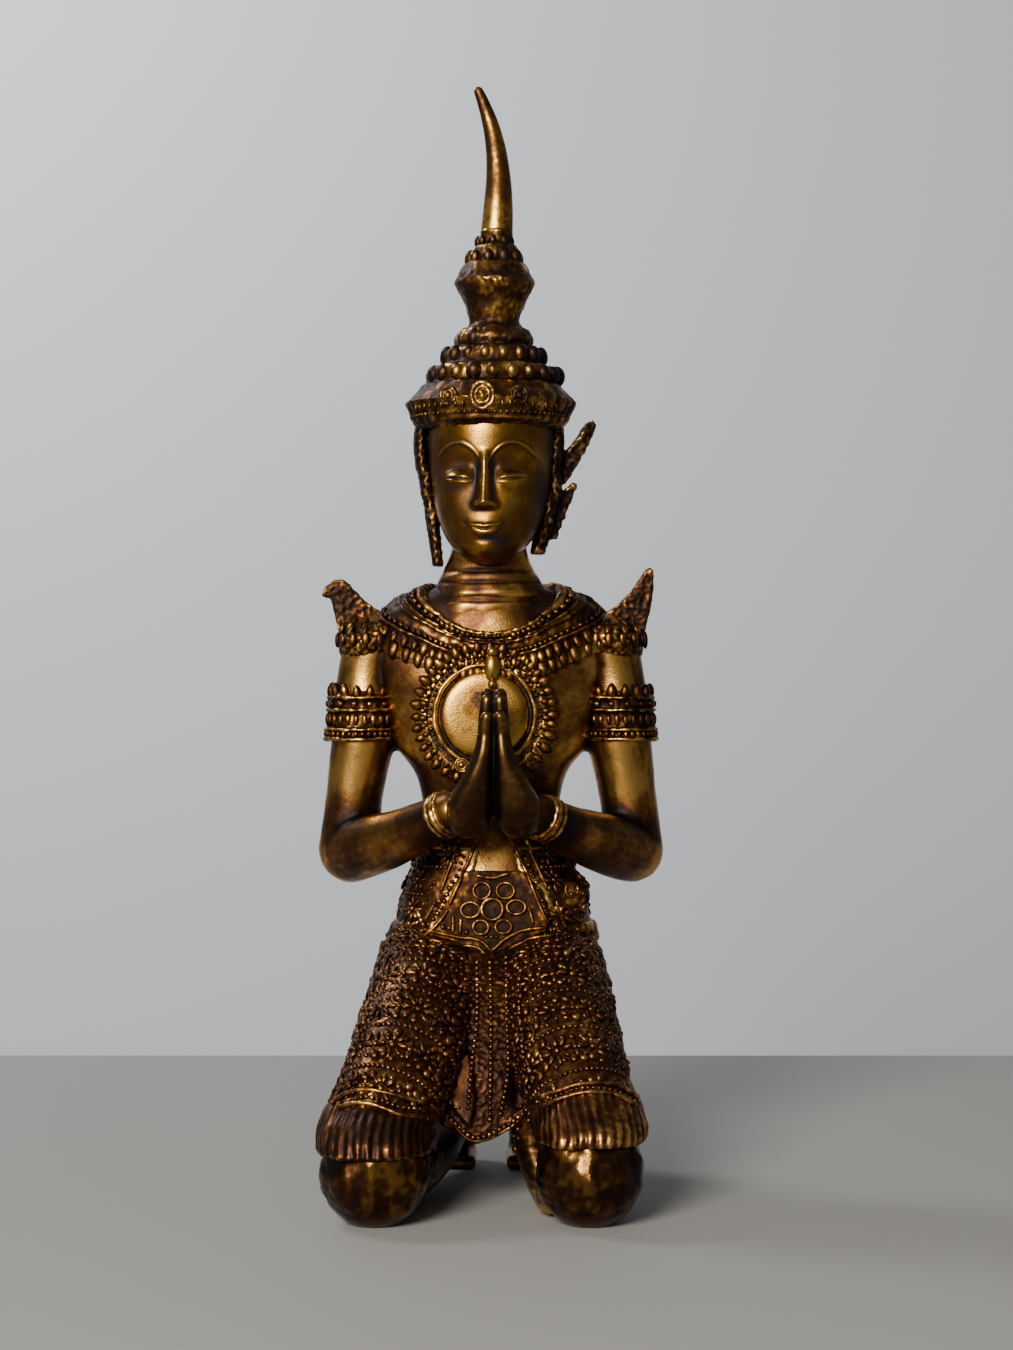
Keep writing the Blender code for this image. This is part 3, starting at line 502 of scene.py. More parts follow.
def neck_relief(points):
    """Three soft creases across the throat, deepest in front."""
    front = smooth(2, -10, points[:, 1])
    h = -1.0 * smooth(158, 153.5, points[:, 2])  # the foot of the neck sinks into the trunk
    for z, depth, half in NECK_CREASES:
        h -= depth * front * np.exp(-((points[:, 2] - z) / half) ** 2)
        h += 0.2 * front * np.exp(-((points[:, 2] - z - 1.7) / 1.2) ** 2)
    return h + uneven(5, 0.3, seed=3)(points)


neck_shape = column(through(NECK, 14), steps=1, sides=110)
finish(shape_object("neck_with_three_creases", [neck_shape]), skin_gilding, neck_relief,
       ((3, 0.08), (14, 0.4)), PAINTED_SHADE_ON_NECK)

# ---- Ear ornaments -------------------------------------------------------------------------------------
# A beaded strip hangs down each side of the head over the ear. The viewer's right one keeps its two flames,
# bent outwards; of the left one's, one points backwards. Nearly all leaf is gone from them.
LEFT_STRIP = [
    (209, -18.6, 3, 1.6, 4.5, 2.2), (204, -19.4, 3, 2.0, 5.2, 2.2), (196, -18.8, 3, 2.0, 5.4, 2.2),
    (189, -17.2, 2.6, 1.9, 4.4, 2.2), (182, -16.2, 2.0, 1.9, 3.6, 2.2), (175, -15.4, 1.6, 1.7, 3.2, 2.2),
    (168.4, -14.6, 1.4, 1.5, 2.8, 2.2),
]
RIGHT_STRIP = [
    (209, 18.0, 3, 1.6, 4.5, 2.2), (204, 18.2, 3, 2.0, 5.2, 2.2), (196, 17.6, 3, 2.2, 5.4, 2.2),
    (189, 16.8, 2.6, 2.4, 4.4, 2.2), (182, 15.6, 2.0, 2.4, 3.8, 2.2), (176, 13.8, 1.6, 2.4, 3.2, 2.2),
    (171.6, 12.8, 1.4, 2.0, 2.8, 2.2),
]
EAR_FLAME_HIGH = [(16.0, 190), (20.5, 191.3), (24.2, 197.3), (27.0, 202.2), (29.0, 207.2), (28.0, 208.9),
                  (25.8, 207.4), (22.8, 202.7), (20.1, 199.5), (16.0, 198)]
EAR_FLAME_LOW = [(15.4, 176), (17.8, 175.8), (21.0, 184.4), (23.7, 190.6), (22.8, 191.9), (19.6, 188.8),
                 (16.0, 186)]
LEFT_EAR_FLAME = [(-18.4, 6, 196, 2.4), (-19.2, 10, 203, 2.2), (-19.6, 14, 210, 1.3)]
FLAME_THICKNESS = 3.2


def slab(outline, y, thickness, turn=0.0):
    """A flat shape seen from the front, its outline in x and z, turned about its own upright axis."""
    flat = np.array(outline, float)
    x, z = flat.T
    if (x * np.roll(z, -1) - np.roll(x, -1) * z).sum() < 0:
        flat = flat[::-1]
    middle = flat[:, 0].mean()
    c, s = math.cos(math.radians(turn)), math.sin(math.radians(turn))
    rings = []
    for depth in (thickness / 2, -thickness / 2):
        across = flat[:, 0] - middle
        rings.append(np.stack([middle + across * c - depth * s, y + across * s + depth * c, flat[:, 1]], 1))
    return stacked(rings)


EAR_TONES = [(0.0, "#120C09"), (0.35, "#291B13"), (0.6, "#3F2A1B"), (0.85, "#5F4425"), (1.0, "#96733A")]
# Dull brown bronze, with leaf only on some ridges.
ear_metal = gilt("bronze_with_traces_of_leaf", EAR_TONES, leaf=0.3, patch=1.6, speck=1.2, shine=(0.55, 0.36),
                 metal=(0.85, 1.0))
ear_shapes = [
    column(LEFT_STRIP, sides=28), column(RIGHT_STRIP, sides=28), limb(LEFT_EAR_FLAME),
    slab(EAR_FLAME_HIGH, 3.6, FLAME_THICKNESS, turn=12), slab(EAR_FLAME_LOW, 2.8, FLAME_THICKNESS, turn=12),
]
for side in (-1, 1):
    ear_shapes.append(ball((17.6 * side, 0.8, 191), (2.0, 3.4, 6.4)))
finish(melted("ear_ornaments", ear_shapes, grain=0.42, ease=3), ear_metal, uneven(1.2, 0.4, seed=2))

# ---- Crown ---------------------------------------------------------------------------------------------
# A tall crown cast in one with the head: a flared brim, stepped tiers of petals, a pot with a spreading rim
# and a thin horn that has been bent. Gilded, with less leaf on the petals. Painted highlights light the front
# of the pot and the petals, and painted shade darkens the ends of the brim, the petals' sides, the tiers and
# the horn.
CROWN = [  # z, centre x, radius
    (205.6, -0.2, 18.6), (207.2, -0.2, 20.6), (209.0, -0.2, 21.6), (212.4, -0.1, 23.2), (213.4, -0.1, 22.8),
    (217.0, 0.2, 19.6), (218.2, 0.2, 18.0), (222.4, 0.4, 17.4), (223.4, 0.5, 14.6), (227.4, 0.7, 13.2),
    (228.4, 0.8, 10.4), (230.6, 0.9, 10.8), (232.8, 1.0, 9.4), (234.2, 1.0, 7.2), (236.4, 1.0, 6.9),
    (241.3, 1.0, 8.7), (244.6, 1.0, 10.6), (246.2, 1.0, 11.1), (247.4, 1.0, 10.5), (251.0, 1.1, 8.4),
    (252.4, 1.2, 6.8), (256.0, 1.3, 5.6), (257.0, 1.4, 4.5), (260.6, 1.5, 4.5),
]
HORN = [
    (1.5, 0, 259.5, 4.5), (2.0, 0.3, 268.0, 4.0), (2.0, 0.5, 276.0, 3.35), (1.2, 0.5, 284.0, 2.75),
    (-0.3, 0.3, 290.5, 2.2), (-2.2, 0, 296.0, 1.65), (-3.4, -0.2, 298.85, 1.35),
]
PETAL_RINGS = [  # count, z, ring radius, petal width, thickness, height
    (21, 220.2, 17.1, 4.8, 4.4, 5.4), (17, 225.6, 13.1, 4.4, 4.0, 5.2), (12, 230.2, 9.4, 4.0, 3.4, 4.8),
    (9, 252.6, 6.3, 4.2, 3.6, 5.2), (8, 257.4, 4.3, 3.0, 2.4, 3.6),
]


def wax_tree():
    """Small pellets of wax pressed on in rows: each point of the mesh gets one, laid along its own way."""
    tree = bpy.data.node_groups.new("applied_wax", "GeometryNodeTree")
    face = tree.interface
    face.new_socket("Geometry", in_out="INPUT", socket_type="NodeSocketGeometry")
    for name, kind in (("Length", "Float"), ("Width", "Float"), ("Height", "Float"), ("Taper", "Float"),
                       ("Sides", "Int"), ("Seed", "Int"), ("Material", "Material")):
        face.new_socket(name, in_out="INPUT", socket_type="NodeSocket" + kind)
    face.new_socket("Geometry", in_out="OUTPUT", socket_type="NodeSocketGeometry")
    given = tree.nodes.new("NodeGroupInput").outputs
    half = add(tree, "ShaderNodeMath", {0: given["Sides"], 1: 0.5, 2: 1.0}, operation="MULTIPLY_ADD")
    pellet = add(tree, "GeometryNodeMeshUVSphere", {"Segments": given["Sides"], "Rings": half.outputs[0],
                                                    "Radius": 0.5})
    where = add(tree, "ShaderNodeSeparateXYZ", {0: add(tree, "GeometryNodeInputPosition").outputs[0]})
    ahead = add(tree, "ShaderNodeMath", {0: where.outputs["X"], 1: 1.0, 2: 0.5}, operation="MULTIPLY_ADD")
    lost = add(tree, "ShaderNodeMath", {0: ahead.outputs[0], 1: given["Taper"]}, operation="MULTIPLY")
    left = add(tree, "ShaderNodeMath", {0: 1.0, 1: lost.outputs[0]}, operation="SUBTRACT")
    width = add(tree, "ShaderNodeMath", {0: given["Width"], 1: left.outputs[0]}, operation="MULTIPLY")
    size = add(tree, "ShaderNodeCombineXYZ", {"X": given["Length"], "Y": width.outputs[0],
                                              "Z": given["Height"]})
    sized = add(tree, "ShaderNodeVectorMath",
                {0: add(tree, "GeometryNodeInputPosition").outputs[0], 1: size.outputs[0]},
                operation="MULTIPLY")
    depth = add(tree, "ShaderNodeMapRange", {"Value": where.outputs["Z"], "From Min": -0.1, "From Max": 0.5,
                                             "To Min": 0.8, "To Max": 0.26})
    marked = add(tree, "GeometryNodeStoreNamedAttribute",
                 {"Geometry": pellet.outputs["Mesh"], "Name": "hollow_and_painted_light", "Value": depth.outputs["Result"]},
                 data_type="FLOAT", domain="POINT")
    shaped = add(tree, "GeometryNodeSetPosition", {"Geometry": marked.outputs[0],
                                                   "Position": sized.outputs[0]})
    out = add(tree, "GeometryNodeInputNamedAttribute", {"Name": "out"}, data_type="FLOAT_VECTOR")
    along = add(tree, "GeometryNodeInputNamedAttribute", {"Name": "along"}, data_type="FLOAT_VECTOR")
    big = add(tree, "GeometryNodeInputNamedAttribute", {"Name": "size"}, data_type="FLOAT")
    turn = add(tree, "FunctionNodeAxesToRotation", {"Primary Axis": out.outputs["Attribute"],
                                                    "Secondary Axis": along.outputs["Attribute"]},
               primary_axis="Z", secondary_axis="X")
    chance = add(tree, "FunctionNodeRandomValue", {2: 0.78, 3: 1.16, "Seed": given["Seed"]},
                 data_type="FLOAT")
    scale = add(tree, "ShaderNodeMath", {0: big.outputs["Attribute"], 1: chance.outputs[1]},
                operation="MULTIPLY")
    laid = add(tree, "GeometryNodeInstanceOnPoints",
               {"Points": given["Geometry"], "Instance": shaped.outputs[0], "Rotation": turn.outputs[0],
                "Scale": scale.outputs[0]})
    real = add(tree, "GeometryNodeRealizeInstances", {"Geometry": laid.outputs[0]})
    soft = add(tree, "GeometryNodeSetShadeSmooth", {"Geometry": real.outputs[0], "Shade Smooth": True})
    done = add(tree, "GeometryNodeSetMaterial", {"Geometry": soft.outputs[0], "Material": given["Material"]})
    add(tree, "NodeGroupOutput", {"Geometry": done.outputs[0]})
    return tree


WAX = wax_tree()


def applied(name, spots, material, length, width, height, taper=0.0, sides=8, seed=1):
    """Wax pellets on spots of (point, way out, way along, size), sizes in millimetres, as one plain mesh."""
    points, outs, alongs, sizes = zip(*spots)
    obj = mesh_object(name, row_frame(points).tolist())
    for label, kind, entry, values in (("out", "FLOAT_VECTOR", "vector", outs),
                                       ("along", "FLOAT_VECTOR", "vector", alongs),
                                       ("size", "FLOAT", "value", sizes)):
        layer = obj.data.attributes.new(label, kind, "POINT")
        layer.data.foreach_set(entry, np.array(values, np.float32).ravel())
    modifier = obj.modifiers.new("wax", "NODES")
    modifier.node_group = WAX
    values = {"Length": length * MM, "Width": width * MM, "Height": height * MM, "Taper": taper,
              "Sides": sides, "Seed": seed, "Material": material}
    for socket in WAX.interface.items_tree:
        if socket.in_out == "INPUT" and socket.name in values:
            modifier[socket.identifier] = values[socket.name]
    return wear_piece(settled(obj), material)


def ring_spots(count, centre, radius, start=0.0, down=True):
    """Spots evenly round an upright axis, facing out."""
    for k in range(count):
        a = 2 * math.pi * (k + start) / count
        out = np.array([math.cos(a), math.sin(a), 0.0])
        yield np.array(centre) + out * radius, out, (0, 0, -1 if down else 1), 1.0


def turned_spots(spots):
    return [(HEAD_WAY @ p, HEAD_WAY @ o, HEAD_WAY @ a, s) for p, o, a, s in spots]


CROWN_TONES = [(0.0, "#24160D"), (0.28, "#3D2613"), (0.52, "#5E3D1B"), (0.78, "#8A622B"), (1.0, "#C19349")]
# Leaf in flakes, with brown lacquer where it has come off. The petals have lost more of it.
crown_gilding = gilt("gold_leaf_flaking_on_the_crown", CROWN_TONES, leaf=0.48, patch=2.0, speck=1.4,
                     proud=0.9, shine=(0.48, 0.3), metal=(0.85, 1.0))
petal_gilding = gilt("bronze_with_leaf_lost_from_the_petals", EAR_TONES, leaf=0.42, patch=2.2, speck=1.2,
                     proud=0.8, shine=(0.5, 0.36), metal=(0.7, 1.0))
crown_base = shape_object("crown_tiers", [
    turned_head(column([(z, cx, 0, r, r, 2) for z, cx, r in CROWN], steps=5, sides=176)),
    limb(HORN, steps=8, sides=40),
])


def crown_relief(points):
    """Pleats at the ends of the brim, a plain rolled edge and thin lines in front."""
    x, y, z = points.T
    angle = np.arctan2(y, x)
    ends = smooth(10, 17, np.abs(x)) * smooth(205.5, 207.5, z) * smooth(214.5, 212.5, z)
    h = 0.24 * np.cos(34 * angle) * ends
    h += 0.4 * np.exp(-((z - 207.6) / 0.5) ** 2) * (1 - ends)
    for line in (209.4, 217.6):
        h += 0.25 * np.exp(-((z - line) / 0.4) ** 2) * (1 - ends)
    return h + (uneven(3.4, 0.5, seed=5)(points) + uneven(1.1, 0.25, seed=6)(points)) * smooth(264, 258, z)


# Painted shade on the ends of the brim, the upper left, the tiers, the back and the horn, and a painted
# highlight on the front of the pot.
PAINTED_LIGHT_ON_CROWN = [(18, -8, 211, 11, 0.1), (-16, -7, 214, 12, 0.9), (-8, -3, 251, 8, 0.7), (2, -9, 237, 8, -0.3),
              (1, 6, 240, 10, 0.2), (0, -3, 268, 22, 0.12), (2, -14, 224, 13, 0.45), (4, -10, 231, 9, 0.3)]
finish(crown_base, crown_gilding, crown_relief, ((3, 0.1), (12, 0.45)), PAINTED_LIGHT_ON_CROWN)
for number, (count, z, radius, width, thick, tall) in enumerate(PETAL_RINGS):
    spots = turned_spots(ring_spots(count, (0.9, 0, z), radius, start=0.5 * (number % 2)))
    petals = applied(f"crown_petals_{number + 1}", spots, petal_gilding, tall, width, thick, taper=0.25,
                     sides=14, seed=number)
    # A painted highlight on the front petals and painted shade on those at the sides.
    rub_and_paint_light(petals, [(-2, -18, 222, 15, -0.45), (18, -4, 220, 10, 0.4), (-14, -4, 222, 8, 0.4)])

# The jewel over the brow and a smaller rosette at each side are beads of wax ringed with threads.
JEWEL = (-0.1, -23.2, 213.0)
ROSETTE = (9.4, -20.9, 213.2)


def turned(profile, centre, axis=(0, -1, 0), sides=48, squeeze=1.0):
    """A body turned about an axis, from rows of radius and height along it. Squeeze narrows it sideways."""
    axis = unit(axis)
    up = unit((0, 0, 1.0) - axis * axis[2])
    side = np.cross(up, axis)
    angle = full_turn(sides)
    circle = np.outer(np.cos(angle), side) * squeeze + np.outer(np.sin(angle), up)
    return stacked([centre + axis * height + radius * circle for radius, height in profile])


def boss(centre, radius, axis=(0, -1, 0), rise=1.0, squeeze=1.0, sides=40):
    """A round ornament: an outer ring, a groove, a second ring and a domed bead in the middle."""
    rows = [(1.0, -1.2), (1.03, 0.2), (0.96, 0.62), (0.84, 0.7), (0.76, 0.42), (0.68, 0.5), (0.6, 0.75),
            (0.5, 0.72), (0.43, 0.45), (0.4, 0.7), (0.32, 1.0), (0.18, 1.18), (0.03, 1.22)]
    return turned([(radius * r, rise * h) for r, h in rows], centre, axis, sides, squeeze)


jewel_shapes = [boss(JEWEL, 3.9, rise=1.5, squeeze=0.86)]
for side in (-1, 1):
    jewel_shapes.append(boss((ROSETTE[0] * side, *ROSETTE[1:]), 2.5, (0.4 * side, -1, 0), rise=1.1, sides=28))
finish(shape_object("crown_jewels", [turned_head(shape) for shape in jewel_shapes]), crown_gilding,
       uneven(1.1, 0.4, seed=21),
       wear_and_light_spots=[(4, -23, 214, 5, 0.35), (-9, -21, 213, 5, 0.3), (9, -21, 213, 6, 0.45)])
brim_beads = [spot for spot in ring_spots(84, (-0.2, 0, 208.9), 21.9) if spot[0][1] < -6]
applied("crown_brim_beads", turned_spots(brim_beads), crown_gilding, 1.0, 1.0, 0.9)
brim_curls = [spot for spot in ring_spots(66, (-0.2, 0, 211.0), 22.6)
              if spot[0][1] < -12 and abs(spot[0][0]) > 4]
applied("crown_brim_curls", turned_spots(brim_curls), crown_gilding, 2.2, 1.3, 1.0, taper=0.6, seed=31)

# ---- Collar --------------------------------------------------------------------------------------------
# A broad collar on the shoulders: two rows of beads with fine ridges between them, over a fringe of leaves.
# The wax was pressed on the finished model, so the beads are uneven; leaf stays on all that stands proud.
COLLAR_HEART = (0, 1, 150)  # the collar lies where rays from this point leave the shoulders
COLLAR_LINES = through([  # degrees from the front; how steeply rays rise to fringe, bead rows and inner edge
    (-20, -36, -20.4, -4.8, 3.0), (0, -37, -22, -6.8, 1.0), (20, -36, -20.4, -4.8, 3.0),
    (40, -30, -13.5, 2.6, 10.2), (60, -16, -1.8, 13.0, 21.0), (80, -5.5, 8, 24, 32), (100, -3, 13, 31, 39.5),
    (140, -6, 18, 40, 47), (180, -8, 20, 42, 50), (220, -6, 18, 40, 47),
], 8)
COLLAR_SECTION = [  # 0 at the fringe, 1 and 2 at the rows of beads; and how far it stands off the body
    (-0.15, -0.5), (-0.15, 0.7), (0.05, 1.1), (0.7, 1.25), (0.78, 1.7), (0.84, 1.9), (0.89, 1.5),
    (0.92, 1.15), (1.1, 1.2), (1.16, 1.5), (1.3, 1.6), (1.42, 1.6), (1.47, 1.9), (1.52, 2.0), (1.57, 1.9),
    (1.62, 1.55), (1.67, 1.9), (1.72, 2.05), (1.77, 1.8), (1.82, 1.3), (1.87, 1.15), (2.15, 1.15),
    (2.22, 1.6), (2.35, 2.0), (2.6, 2.1), (2.8, 1.7), (2.95, 1.0), (3.0, -0.5),
]
COLLAR_EDGE = [(-31.5, 1, 151.4, 3.0), (-27.4, 1, 156.0, 2.6), (-24.2, 0.4, 158.9, 2.1),
               (-18.5, -3, 159.6, 1.6)]


def skin_of(*shapes):
    """A skin that straight lines can be laid on, from shapes in millimetres."""
    return BVHTree.FromPolygons(*joined(shapes))


def laid_on(skin, start, way, reach=60):
    """Where a straight line from a point meets a skin, and which way the skin faces there, or None."""
    spot, normal, _, _ = skin.ray_cast(Vector(row_frame(start)), Vector(way).normalized(), reach * MM)
    if spot is None:
        return None
    return figure_frame(spot), np.array(normal)


trunk_skin = skin_of(body_shapes[0], neck_shape)


def round_collar(share, band, out):
    """A point on the collar, a share of a turn from the viewer's right arm, and the way it faces."""
    a = 2 * math.pi * share
    from_front = abs((math.degrees(a) - 90) % 360 - 180)
    lines = [np.interp(from_front, COLLAR_LINES[:, 0], COLLAR_LINES[:, k]) for k in (1, 2, 3, 4)]
    low = min(2, max(0, int(band)))
    rise = math.radians(lines[low] + (lines[low + 1] - lines[low]) * (band - low))
    way = np.array((math.cos(a) * math.cos(rise), math.sin(a) * math.cos(rise), math.sin(rise)))
    spot, normal = laid_on(trunk_skin, way * 58 + COLLAR_HEART, -way)
    return spot + normal * out, normal


def collar_spots(count, band, out, start=0.0):
    """Spots evenly round the collar, pointing down towards its fringe."""
    for k in range(count):
        share = (k + start) / count
        here, normal = round_collar(share, band, out)
        yield here, normal, round_collar(share, band - 0.15, out)[0] - here, 1.0


COLLAR_TONES = [(0.0, "#23140B"), (0.3, "#3E2411"), (0.55, "#5C3917"), (0.8, "#865C26"), (1.0, "#C4964B")]
# Gold on all that stands proud and dark lacquer between, so that the relief reads from afar.
collar_gilding = gilt("gold_leaf_on_pressed_wax_relief", COLLAR_TONES, leaf=0.37, patch=1.7, speck=1.7,
                      proud=1.2, shine=(0.46, 0.3), metal=(0.9, 1.0))
COLLAR_SIDES = 260
collar_rings = [np.array([round_collar(k / COLLAR_SIDES, band, out)[0] for k in range(COLLAR_SIDES)])
                for band, out in COLLAR_SECTION]
collar_edges = [limb([(0.6 - x * side, y, z, r) for x, y, z, r in COLLAR_EDGE]) for side in (-1, 1)]
finish(shape_object("collar_band", [stacked(collar_rings), *collar_edges]), collar_gilding,
       uneven(1.3, 0.42, seed=8), ((3, 0.12), (10, 0.45)),
       [(-25, -2, 157, 12, 0.6), (24, -2, 157, 11, 0.4), (0, -16, 150, 10, 0.15)])
applied("collar_beads_upper", collar_spots(76, 2.0, 1.7), collar_gilding, 2.0, 2.0, 1.7)
applied("collar_beads_lower", collar_spots(104, 1.0, 1.5), collar_gilding, 1.5, 1.5, 1.4, seed=2)
applied("collar_leaves_upper", collar_spots(70, 0.5, 1.4), collar_gilding, 4.6, 3.2, 1.7, taper=0.4, seed=3)
applied("collar_leaves_lower", collar_spots(58, 0.08, 0.9, start=0.5), collar_gilding, 5.4, 4.2, 1.9,
        taper=0.5, seed=4)

# ---- Shoulder flames -----------------------------------------------------------------------------------
# A flame stands up at each end of the collar over a cap that covers the shoulder. They were cut from sheet
# wax and pressed on, and the viewer's left one has its tip bent outwards like a beak.
LEFT_SHOULDER_FLAME = [
    (-28.6, 147), (-39.2, 143.6), (-41.2, 147.4), (-42.0, 151), (-43.1, 155.2), (-44.1, 159.4),
    (-46.6, 160.2), (-45.6, 162.6), (-43.4, 164.4), (-41.0, 164.8), (-39.0, 163.4), (-37.4, 161.5),
    (-34.4, 158.3), (-30.6, 156),
]
RIGHT_SHOULDER_FLAME = [
    (29.4, 147), (40.6, 144), (42.8, 152.4), (44.0, 157.3), (44.8, 162.9), (44.7, 167.2), (43.6, 168.1),
    (42.2, 166.8), (38.7, 161.5), (35.2, 158.0), (31.4, 155.4),
]
SHOULDER_CAP_RADII = (9.4, 10.2, 6.4)
flame_shapes = [slab(LEFT_SHOULDER_FLAME, 1.2, FLAME_THICKNESS + 0.6),
                slab(RIGHT_SHOULDER_FLAME, 1.2, FLAME_THICKNESS + 0.6)]
for side in (-1, 1):
    flame_shapes.append(ball((33.0 * side, 0.6, 147.6), SHOULDER_CAP_RADII, turn=(0, 22 * side, 0)))
finish(melted("shoulder_flames", flame_shapes, grain=0.42, ease=4), collar_gilding,
       uneven(1.1, 0.34, seed=11), wear_and_light_spots=[(44, 0, 159, 12, 0.6), (-42, 0, 158, 12, 0.35)])
cap_leaves = []
for side in (-1, 1):
    for tilt, count in ((35, 7), (62, 11), (88, 15)):
        for k in range(count):
            a, b = 2 * math.pi * k / count, math.radians(tilt)
            out = np.array([math.cos(a) * math.sin(b), math.sin(a) * math.sin(b), math.cos(b)])
            spot = out * SHOULDER_CAP_RADII + (33.0 * side, 0.6, 147.8)
            if abs(spot[0]) > 26:
                cap_leaves.append((spot, out, out * math.cos(b) - (0, 0, 1), 1.0))
applied("shoulder_cap_leaves", cap_leaves, collar_gilding, 4.6, 3.2, 1.5, taper=0.5, seed=9)

# ---- Chest medallion -----------------------------------------------------------------------------------
# A flat gilded disc hangs from the collar by a drop. A groove and a beaded ring go round it, with a wreath
# of leaves outside and a stud below each side.
MEDALLION = (-1.6, -15.0, 127.6)
MEDALLION_PROFILE = [  # radius, height off the chest
    (19.0, -3.0), (19.0, -0.6), (18.4, 0.2), (16.6, 0.7), (16.0, 1.2), (15.6, 1.0), (14.4, 1.0), (14.0, 1.3),
    (13.5, 1.7), (13.0, 1.4), (12.7, 0.3), (12.2, 0.0), (11.9, 0.5), (11.6, 1.4), (11.0, 1.8), (9.5, 2.05),
    (7.5, 2.15), (5.0, 2.2), (2.5, 2.25), (0.3, 2.25),
]
MEDALLION_AXIS = (0, -1, 0.03)


def rim_relief(points):
    """Uneven wax from the groove outwards, and a calm disc inside it."""
    return uneven(2.2, 0.35, seed=14)(points) * smooth(
        11, 14, np.hypot(points[:, 0] - MEDALLION[0], points[:, 2] - MEDALLION[2]))


# Nearly whole leaf: a bright calm disc with brown stains, and painted shade on its right side.
MEDALLION_TONES = [(0.0, "#1B0F08"), (0.25, "#3A220F"), (0.48, "#5F3D17"), (0.74, "#875E26"),
                   (1.0, "#AD8039")]
medallion_gilding = gilt("gold_leaf_whole_on_the_medallion", MEDALLION_TONES, leaf=0.54, patch=2.6, speck=1.7,
                         proud=1.5, shine=(0.5, 0.3))
finish(shape_object("chest_medallion", [turned(MEDALLION_PROFILE, MEDALLION, MEDALLION_AXIS, sides=120)]),
       medallion_gilding, rim_relief,
       # Painted shade on the disc's right side, and rubbed spots low down.
       wear_and_light_spots=[(7, -17, 127, 7, 0.3), (-9, -17, 121, 5, 0.25), (-2, -17, 117, 6, 0.3)])


def wreath(count, radius, height, start=0.0):
    """Spots round the medallion, facing forward and pointing outwards."""
    for k in range(count):
        a = 2 * math.pi * (k + start + 0.2 * math.sin(7 * k)) / count
        away = np.array([math.cos(a), 0.0, math.sin(a)])
        yield np.array(MEDALLION) + away * radius + (0, -height, 0), (0, -1, 0), away, 1.0


applied("medallion_beads", wreath(54, 14.9, 1.1), collar_gilding, 1.5, 1.1, 1.1)
applied("medallion_leaves", wreath(38, 18.3, 0.1), collar_gilding, 4.4, 4.0, 2.0, taper=0.5, seed=6)
applied("medallion_inner_leaves", wreath(46, 16.6, 0.8, start=0.5), collar_gilding, 2.8, 2.4, 1.6, taper=0.4,
        seed=7)
drop_shapes = [ball((0.4, -17.4, 140.4), (2.3, 1.9, 3.8)), ball((0.4, -18.0, 144.6), (1.6, 1.5, 1.5)),
               ball((0.4, -18.2, 136.0), (1.3, 1.3, 1.3))]
for side in (-1, 1):
    drop_shapes.append(boss((MEDALLION[0] + 6.2 * side, MEDALLION[1] - 1.6, MEDALLION[2] - 13.4), 2.0))
finish(shape_object("medallion_drop_and_studs", drop_shapes), medallion_gilding)

# ---- Armlets and bracelets -----------------------------------------------------------------------------
# A band round each upper arm, with petals along its upper edge, rosettes and upright bars between two rims,
# and a pair of plain rings at each wrist. All are wax laid round the arm before casting.
ARMLET_Z = 127.3
ARMLET_SECTION = [  # height from its middle, radius
    (-7.0, 8.7), (-6.9, 9.9), (-6.4, 10.3), (-5.9, 10.0), (-5.6, 9.5), (-4.4, 9.5), (-4.1, 10.0),
    (-3.7, 10.2), (-3.3, 9.8), (-3.0, 9.5), (-1.0, 9.5), (0.9, 9.6), (1.2, 10.1), (1.6, 10.3), (2.0, 10.0),
    (2.3, 9.7), (4.2, 9.8), (4.6, 10.2), (5.0, 10.4), (5.4, 10.1), (5.8, 9.6), (6.4, 9.3), (6.8, 8.6),
]
ARMLET_ROWS = [  # kind, count, height on the band, radius, start; length, width, height, taper, sides
    ("bars", 26, -1.1, 9.6, 0, 3.6, 1.7, 1.5, 0.0, 8), ("beads", 34, -5.0, 9.6, 0, 1.9, 1.5, 1.4, 0.0, 8),
    ("petals", 16, 6.6, 9.3, 0.5, 4.6, 3.8, 2.6, 0.5, 10),
    ("rosettes", 14, 3.2, 9.7, 0, 1.9, 2.3, 1.7, 0.0, 10),
]


def armlet_centre(side, dz):
    return (35.3 - dz * 0.1) * side, 0.5, ARMLET_Z + dz


armlet_shapes = []
for side in (-1, 1):
    middles = [(*armlet_centre(side, dz), r) for dz, r in ARMLET_SECTION]
    armlet_shapes.append(column([(z, x, y, r, r, 2.0) for x, y, z, r in middles], steps=2, sides=100))
finish(shape_object("armlet_bands", armlet_shapes), collar_gilding, uneven(1.5, 0.45, seed=17))
for kind, count, dz, radius, start, length, width, height, taper, sides in ARMLET_ROWS:
    spots = [spot for side in (-1, 1)
             for spot in ring_spots(count, armlet_centre(side, dz), radius, start=start, down=False)]
    applied("armlet_" + kind, spots, collar_gilding, length, width, height, taper, sides)

BRACELETS = {-1: (-11.8, -30.0, 101.7), 1: (14.5, -27.9, 100.5)}
BRACELET_WAY = (7.4, -7.0, 4.0)  # along the forearm from the elbow to the wrist, mirrored at the left
BRACELET_PROFILE = [  # radius, place along the forearm
    (4.6, -2.2), (6.0, -2.0), (6.4, -1.6), (6.3, -1.1), (5.9, -0.7), (6.0, -0.4), (6.4, 0.0), (6.4, 0.5),
    (6.0, 0.9), (5.8, 1.1), (6.1, 1.4), (6.1, 1.7), (5.8, 2.0), (4.6, 2.2),
]
bracelet_shapes = [turned(BRACELET_PROFILE, centre, (-BRACELET_WAY[0] * side, *BRACELET_WAY[1:]), sides=72)
                   for side, centre in BRACELETS.items()]
finish(shape_object("bracelets", bracelet_shapes), collar_gilding, uneven(1.6, 0.4, seed=18))

